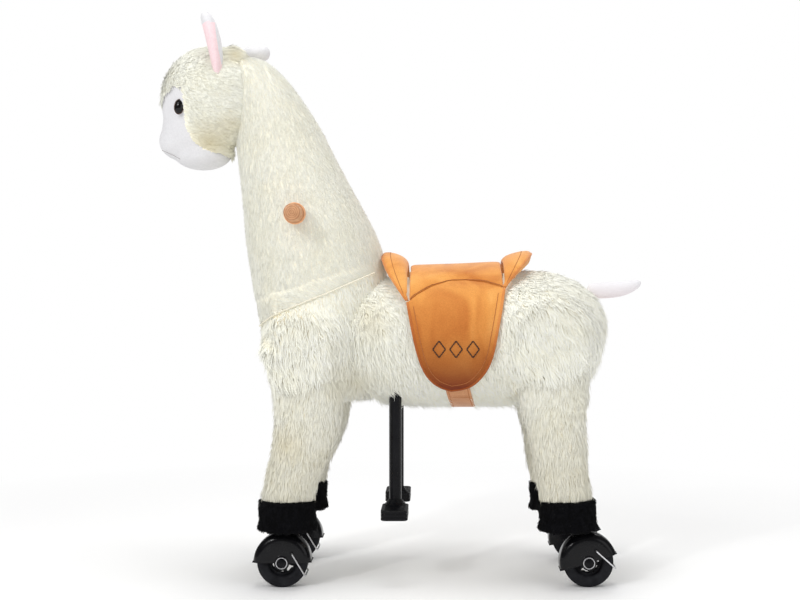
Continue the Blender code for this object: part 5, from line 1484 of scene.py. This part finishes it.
def spun(profile, centre, steps=64, span=2 * pi):
    """A profile of (radius, offset along Y) turned about the Y line through a centre."""
    shape = bmesh.new()
    verts = [shape.verts.new((radius, offset, 0)) for radius, offset in profile]
    edges = [shape.edges.new(pair) for pair in zip(verts, verts[1:])]
    bmesh.ops.spin(shape, geom=verts + edges, cent=(0, 0, 0), axis=(0, -1, 0), angle=span, steps=steps,
                   use_merge=span > 6)
    bmesh.ops.remove_doubles(shape, verts=shape.verts, dist=1e-6)
    return put(shape, centre)


def closed_spin(profile, centre, steps):
    """A full turn whose faces point outwards."""
    shape = spun(profile, centre, steps)
    bmesh.ops.recalc_face_normals(shape, faces=shape.faces)
    if shape.calc_volume(signed=True) < 0:
        bmesh.ops.reverse_faces(shape, faces=shape.faces)
    return shape


collar_out = HANDLE_REACH - COLLAR_INSET
collar_in = collar_out - COLLAR_LENGTH
half_bar = [(0.0, HANDLE_REACH), (HANDLE_RADIUS - 0.0022, HANDLE_REACH),
            (HANDLE_RADIUS - 0.0009, HANDLE_REACH - 0.0006), (HANDLE_RADIUS, HANDLE_REACH - 0.0024),
            (HANDLE_RADIUS, collar_out + 0.001), (HANDLE_RADIUS + 0.0004, collar_out),
            (COLLAR_RADIUS - 0.0010, collar_out - 0.0006), (COLLAR_RADIUS, collar_out - 0.0022),
            (COLLAR_RADIUS, collar_in + 0.0022), (COLLAR_RADIUS - 0.0010, collar_in + 0.0006),
            (HANDLE_RADIUS, collar_in)]
bar_shape = closed_spin(mirrored(half_bar), HANDLE, 48)
piece("turned_handle", bar_shape, beech, "steering", ["handlebar"], sharp=30)

# %% [markdown]
# Each hoof is a cuff of short black plush, drawn in by its hem round the wheel's hood. The gathers are small waves
# that grow towards the hem, and a dense short pile makes its edge fuzzy.

# %% hoof cuffs
CUFF_HEIGHT, GATHERS, GATHER_DEPTH, SOFT_DEPTH = 0.0385, 17, 0.0011, 0.0005
CUFF_PROFILE = [(0.010, 0.0000), (0.0300, 0.0000), (0.0345, 0.0012), (0.0352, 0.0060), (0.0346, 0.0150),
                (0.0344, 0.0240), (0.0352, 0.0310), (0.0364, 0.0350), (0.0360, 0.0372), (0.0330, 0.0382),
                (0.0200, 0.0378), (0.0120, 0.0378)]
for index, (where, side) in enumerate(ENDS):
    skin, cuff_top, line = leg_skins[where, side]
    cuff_shape = bmesh.new()
    verts = [cuff_shape.verts.new((radius * 1.06 - 0.0012, 0, -down)) for radius, down in CUFF_PROFILE]
    edges = [cuff_shape.edges.new(pair) for pair in zip(verts, verts[1:] + verts[:1])]
    bmesh.ops.spin(cuff_shape, geom=verts + edges, cent=(0, 0, 0), axis=(0, 0, 1), angle=2 * pi, steps=96,
                   use_merge=True)
    bmesh.ops.recalc_face_normals(cuff_shape, faces=cuff_shape.faces)
    for vert in cuff_shape.verts:
        angle = atan2(vert.co.y, vert.co.x)
        low = max(0.0, -vert.co.z / CUFF_HEIGHT - 0.62) / 0.38
        wave = sin(GATHERS * angle + 1.3 * sin(3 * angle)) * GATHER_DEPTH * low
        soft = SOFT_DEPTH * sin(5 * angle + 7 * vert.co.z / CUFF_HEIGHT)
        if vert.co.xy.length > 0.02:
            vert.co += Vector((vert.co.x, vert.co.y, 0)).normalized() * (wave + soft)
    middle = Vector((cuff_top.x, AXLES[where, side].y, cuff_top.z))
    put(cuff_shape, middle, Vector((0, 0, -1)).rotation_difference(line).to_matrix())
    cuff_roots = cuff_shape.copy()
    piece(f"hoof_cuff_skin_{where}_{side}", cuff_shape, black_backing, f"{where}_legs",
          [f"hoof_cuff_{where}_{side}"])

    def cuff_comb(places, normals):
        return np.tile(np.array(line), (len(places), 1))

    def cuff_keep(places, normals):
        reach = np.linalg.norm(np.cross(places - np.array(middle), np.array(line)), axis=1)
        return reach > 0.026

    pile(f"hoof_pile_{where}_{side}", cuff_roots, int(3900 * QUICK), 0.0038, 0.0013, cuff_comb, black_pile,
         f"{where}_legs", 40 + index, keep=cuff_keep, lift=0.5)

# %% [markdown]
# A glossy hood covers the upper half of each wheel, moulded in one piece with flat cheeks and a rounded shoulder. A
# profile is swung through half a turn about the axle, given a wall, and finished with a boss round the axle, a small
# lip at both ends of the arch, and the boss that carries the wire.

# %% wheel hoods
HOOD_HALF, HOOD_WALL, SHOULDER = 0.0170, 0.0022, 0.0088
BOSS_RADIUS = 0.0096
BAIL_PIVOT = (0.0131, 0.0118)


def disc(radius, depth, place, segments=32):
    """A flat round boss across the toy, with an eased rim."""
    shape = bmesh.new()
    bmesh.ops.create_cone(shape, cap_ends=True, segments=segments, radius1=radius, radius2=radius, depth=depth)
    rims = [rim for rim in shape.edges if any(len(face.verts) > 4 for face in rim.link_faces)]
    bmesh.ops.bevel(shape, geom=rims, offset=0.0005, segments=3, profile=0.5, affect="EDGES", material=-1)
    return put(shape, place, Vector((0, 0, 1)).rotation_difference(ACROSS).to_matrix())


def block(size, place, turn=Matrix(), edge=0.0004):
    """A small moulded block with eased edges."""
    shape = bmesh.new()
    bmesh.ops.create_cube(shape, size=1.0)
    put(shape, size=size)
    bmesh.ops.bevel(shape, geom=shape.edges[:], offset=edge, segments=2, profile=0.5, affect="EDGES", material=-1)
    return put(shape, place, turn)


corner = [pi / 2 * step / 5 for step in range(1, 6)]
cheek = [(0.0, HOOD_HALF), (0.012, HOOD_HALF), (HOOD_RADIUS - SHOULDER, HOOD_HALF)]
cheek += [(HOOD_RADIUS - SHOULDER + SHOULDER * sin(angle), HOOD_HALF - SHOULDER + SHOULDER * cos(angle))
          for angle in corner]
for where, side in ENDS:
    axle = AXLES[where, side]
    dome = outward(spun(mirrored(cheek), axle, 40, span=pi), axle + Vector((0, 0, 0.01)))
    shapes = [worked(dome, thickened(HOOD_WALL, use_even_offset=False))]
    for sign in (-1, 1):
        pivot = Vector((BAIL_PIVOT[0], sign * (HOOD_HALF - 0.0007), BAIL_PIVOT[1]))
        lip = Vector((sign * (HOOD_RADIUS - 0.0006), 0, 0.0007))
        shapes.append(disc(BOSS_RADIUS, 0.0026, axle + ACROSS * sign * (HOOD_HALF - 0.0011)))
        shapes.append(disc(0.0030, 0.0022, axle + pivot, segments=20))
        shapes.append(block((0.0030, HOOD_HALF * 1.6, 0.0014), axle + lip))
    hood = join(shapes)
    bmesh.ops.rotate(hood, cent=axle, matrix=Matrix.Rotation(-TILTS[where], 3, "Y"), verts=hood.verts)
    piece(f"wheel_hood_{where}_{side}", hood, gloss_black, f"{where}_legs", [f"hood_{where}_{side}"],
          sharp=35)

# %% [markdown]
# The wheel is a hard moulding: a tyre with square knobs across its tread, a rim ring, a hub and six spokes with open
# windows between them.

# %% wheels
TREAD = WHEEL_RADIUS - 0.0003
TYRE_PROFILE = [(0.0172, -0.0078), (0.0190, -0.0104), (0.0215, -0.0116), (0.0262, -0.0118), (0.0296, -0.0112),
                (0.0316, -0.0096), (TREAD, -0.0074), (TREAD, -0.0052), (TREAD - 0.0018, -0.0048)]
RIM_PROFILE = [(0.0150, -0.0056), (0.0178, -0.0056), (0.0178, 0.0056), (0.0150, 0.0056), (0.0150, -0.0056)]
HUB_PROFILE = [(0.0044, -0.0095), (0.0076, -0.0095), (0.0084, -0.0087), (0.0084, 0.0087), (0.0076, 0.0095),
               (0.0044, 0.0095), (0.0044, -0.0095)]
KNOB_COUNT, KNOB_ROWS = 30, (-0.0024, 0.0024)
SPOKES, SPOKE_START = 6, 0.3


def round_axle(size, axle, share, start, reach, offset=0.0, edge=0.0004):
    """A block at a share of a turn about an axle."""
    turn = Matrix.Rotation(2 * pi * share + start, 3, "Y")
    return block(size, axle + turn @ Vector((reach, offset, 0)), turn, edge)


for where, side in ENDS:
    axle = AXLES[where, side]
    profile = mirrored(TYRE_PROFILE)
    shapes = [closed_spin(profile + profile[:1], axle, 60), closed_spin(RIM_PROFILE, axle, 48),
              closed_spin(HUB_PROFILE, axle, 36)]
    for spoke in range(SPOKES):
        shapes.append(round_axle((0.0080, 0.0074, 0.0042), axle, spoke / SPOKES, SPOKE_START, 0.0118))
        shapes.append(round_axle((0.0016, 0.0100, 0.0040), axle, (spoke + 0.5) / SPOKES, SPOKE_START, 0.0146,
                                 edge=0.0003))
    for knob in range(KNOB_COUNT):
        for row, offset in enumerate(KNOB_ROWS):
            shapes.append(round_axle((0.0020, 0.0040, 0.0040), axle, (knob + 0.5 * row) / KNOB_COUNT, 0,
                                     WHEEL_RADIUS - 0.0013, offset, 0.0003))
    piece(f"spoked_wheel_{where}_{side}", join(shapes), tyre_black, f"wheel_spin_{where}_{side}",
          [f"wheel_{where}_{side}"], sharp=35)

# %% [markdown]
# A bolt through both cheeks is the axle. From outside it shows a round black cap in a bright plated ring.

# %% axle bolts
CAP_RADIUS, RING_RADIUS = 0.0056, 0.0074
FACE = HOOD_HALF + 0.0004
HALF_BOLT = [(0.0, HOOD_HALF + 0.0036), (CAP_RADIUS - 0.0022, HOOD_HALF + 0.0034),
             (CAP_RADIUS - 0.0006, HOOD_HALF + 0.0028), (CAP_RADIUS, HOOD_HALF + 0.0018), (CAP_RADIUS, FACE),
             (0.0039, FACE)]
RING = [(CAP_RADIUS + 0.0005, FACE), (RING_RADIUS, FACE), (RING_RADIUS, FACE + 0.0008),
        (RING_RADIUS - 0.0004, FACE + 0.0012), (CAP_RADIUS + 0.0009, FACE + 0.0012),
        (CAP_RADIUS + 0.0005, FACE + 0.0008), (CAP_RADIUS + 0.0005, FACE)]
for where, side in ENDS:
    axle = AXLES[where, side]
    slots = [block((0.0075, 0.0006, 0.0011), axle + ACROSS * sign * (HOOD_HALF + 0.0036),
                   Matrix.Rotation(turn_by, 3, "Y"), 0.0002) for sign in (-1, 1) for turn_by in (0.5, 0.5 + pi / 2)]
    piece(f"axle_cap_{where}_{side}", join([closed_spin(mirrored(HALF_BOLT), axle, 40)] + slots), satin_black,
          f"{where}_legs", [f"axle_bolt_{where}_{side}"], sharp=35)
    washers = [closed_spin([(radius, sign * offset) for radius, offset in RING], axle, 40) for sign in (-1, 1)]
    piece(f"axle_washer_{where}_{side}", join(washers), zinc, f"{where}_legs", sharp=35)

# %% [markdown]
# A footrest is a moulded plate with grooves round its edge and ribs across its top, and a stepped socket that grips
# the post. Each level is the outline pushed up a little, wider or narrower than the one below.

# %% footrests
REST_SIZE = (0.034, 0.060)
REST_LEVELS = [(0.0000, 0.0010), (0.0008, 0.0000), (0.0034, 0.0000), (0.0038, 0.0010), (0.0048, 0.0010),
               (0.0052, 0.0000), (0.0078, 0.0000), (0.0082, 0.0010), (0.0092, 0.0010), (0.0096, 0.0000),
               (0.0122, 0.0000), (0.0130, 0.0010)]
SOCKET_RADIUS = 0.0083
SOCKET_STEPS = [(0.0132, 0.0012, 0.0024), (0.0112, 0.0036, 0.0026), (0.0098, 0.0058, 0.0024)]
RIB_PITCH, RIB_CLEAR = 0.0058, 0.012


def pushed_up(shape, face):
    """The new face after an extrusion."""
    made = bmesh.ops.extrude_face_region(shape, geom=[face])
    return next(item for item in made["geom"] if isinstance(item, bmesh.types.BMFace))


def stepped(shape, face, levels, size):
    """Push a face up through levels of (height, how far its edge is set in)."""
    before = levels[0]
    for height, inset in levels[1:]:
        face = pushed_up(shape, face)
        ratio = [(side / 2 - inset) / (side / 2 - before[1]) for side in size]
        bmesh.ops.scale(shape, vec=(*ratio, 1), verts=face.verts,
                        space=Matrix.Translation(-face.calc_center_median()))
        bmesh.ops.translate(shape, vec=(0, 0, height - before[0]), verts=face.verts)
        before = (height, inset)


for side, sign in SIDES:
    low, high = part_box(f"footrest_{side}")
    middle = Vector(((low.x + high.x) / 2, (low.y + high.y) / 2, low.z))
    plate = bmesh.new()
    bmesh.ops.create_grid(plate, x_segments=1, y_segments=1, size=0.5)
    put(plate, size=(REST_SIZE[0] - 0.002, REST_SIZE[1] - 0.002, 1))
    bmesh.ops.bevel(plate, geom=plate.verts[:], offset=0.0055, segments=5, profile=0.5, affect="VERTICES", material=-1)
    plate.faces.ensure_lookup_table()
    stepped(plate, pushed_up(plate, plate.faces[0]), REST_LEVELS, REST_SIZE)
    bmesh.ops.recalc_face_normals(plate, faces=plate.faces)
    post_low, post_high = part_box(f"pedal_post_{side}")
    post = Vector(((post_low.x + post_high.x) / 2, (post_low.y + post_high.y) / 2, high.z))
    ribs = [middle.y + rib * RIB_PITCH for rib in range(-4, 5)]
    shapes = [put(plate, middle)]
    shapes += [block((REST_SIZE[0] * 0.72, 0.0016, 0.0009), (middle.x, y, high.z + 0.0002), edge=0.0003)
               for y in ribs if abs(y - post.y) > RIB_CLEAR]
    for radius, height, depth in SOCKET_STEPS:
        ring = [(SOCKET_RADIUS, 0), (radius, 0), (radius, depth * 0.8), (radius - 0.0005, depth),
                (SOCKET_RADIUS, depth), (SOCKET_RADIUS, 0)]
        shapes.append(put(closed_spin(ring, (0, 0, 0), 32), post + Vector((0, 0, height - depth / 2)),
                          Matrix.Rotation(pi / 2, 3, "X")))
    piece(f"ribbed_footrest_{side}", join(shapes), satin_black, "pedals", [f"footrest_{side}"], sharp=30)
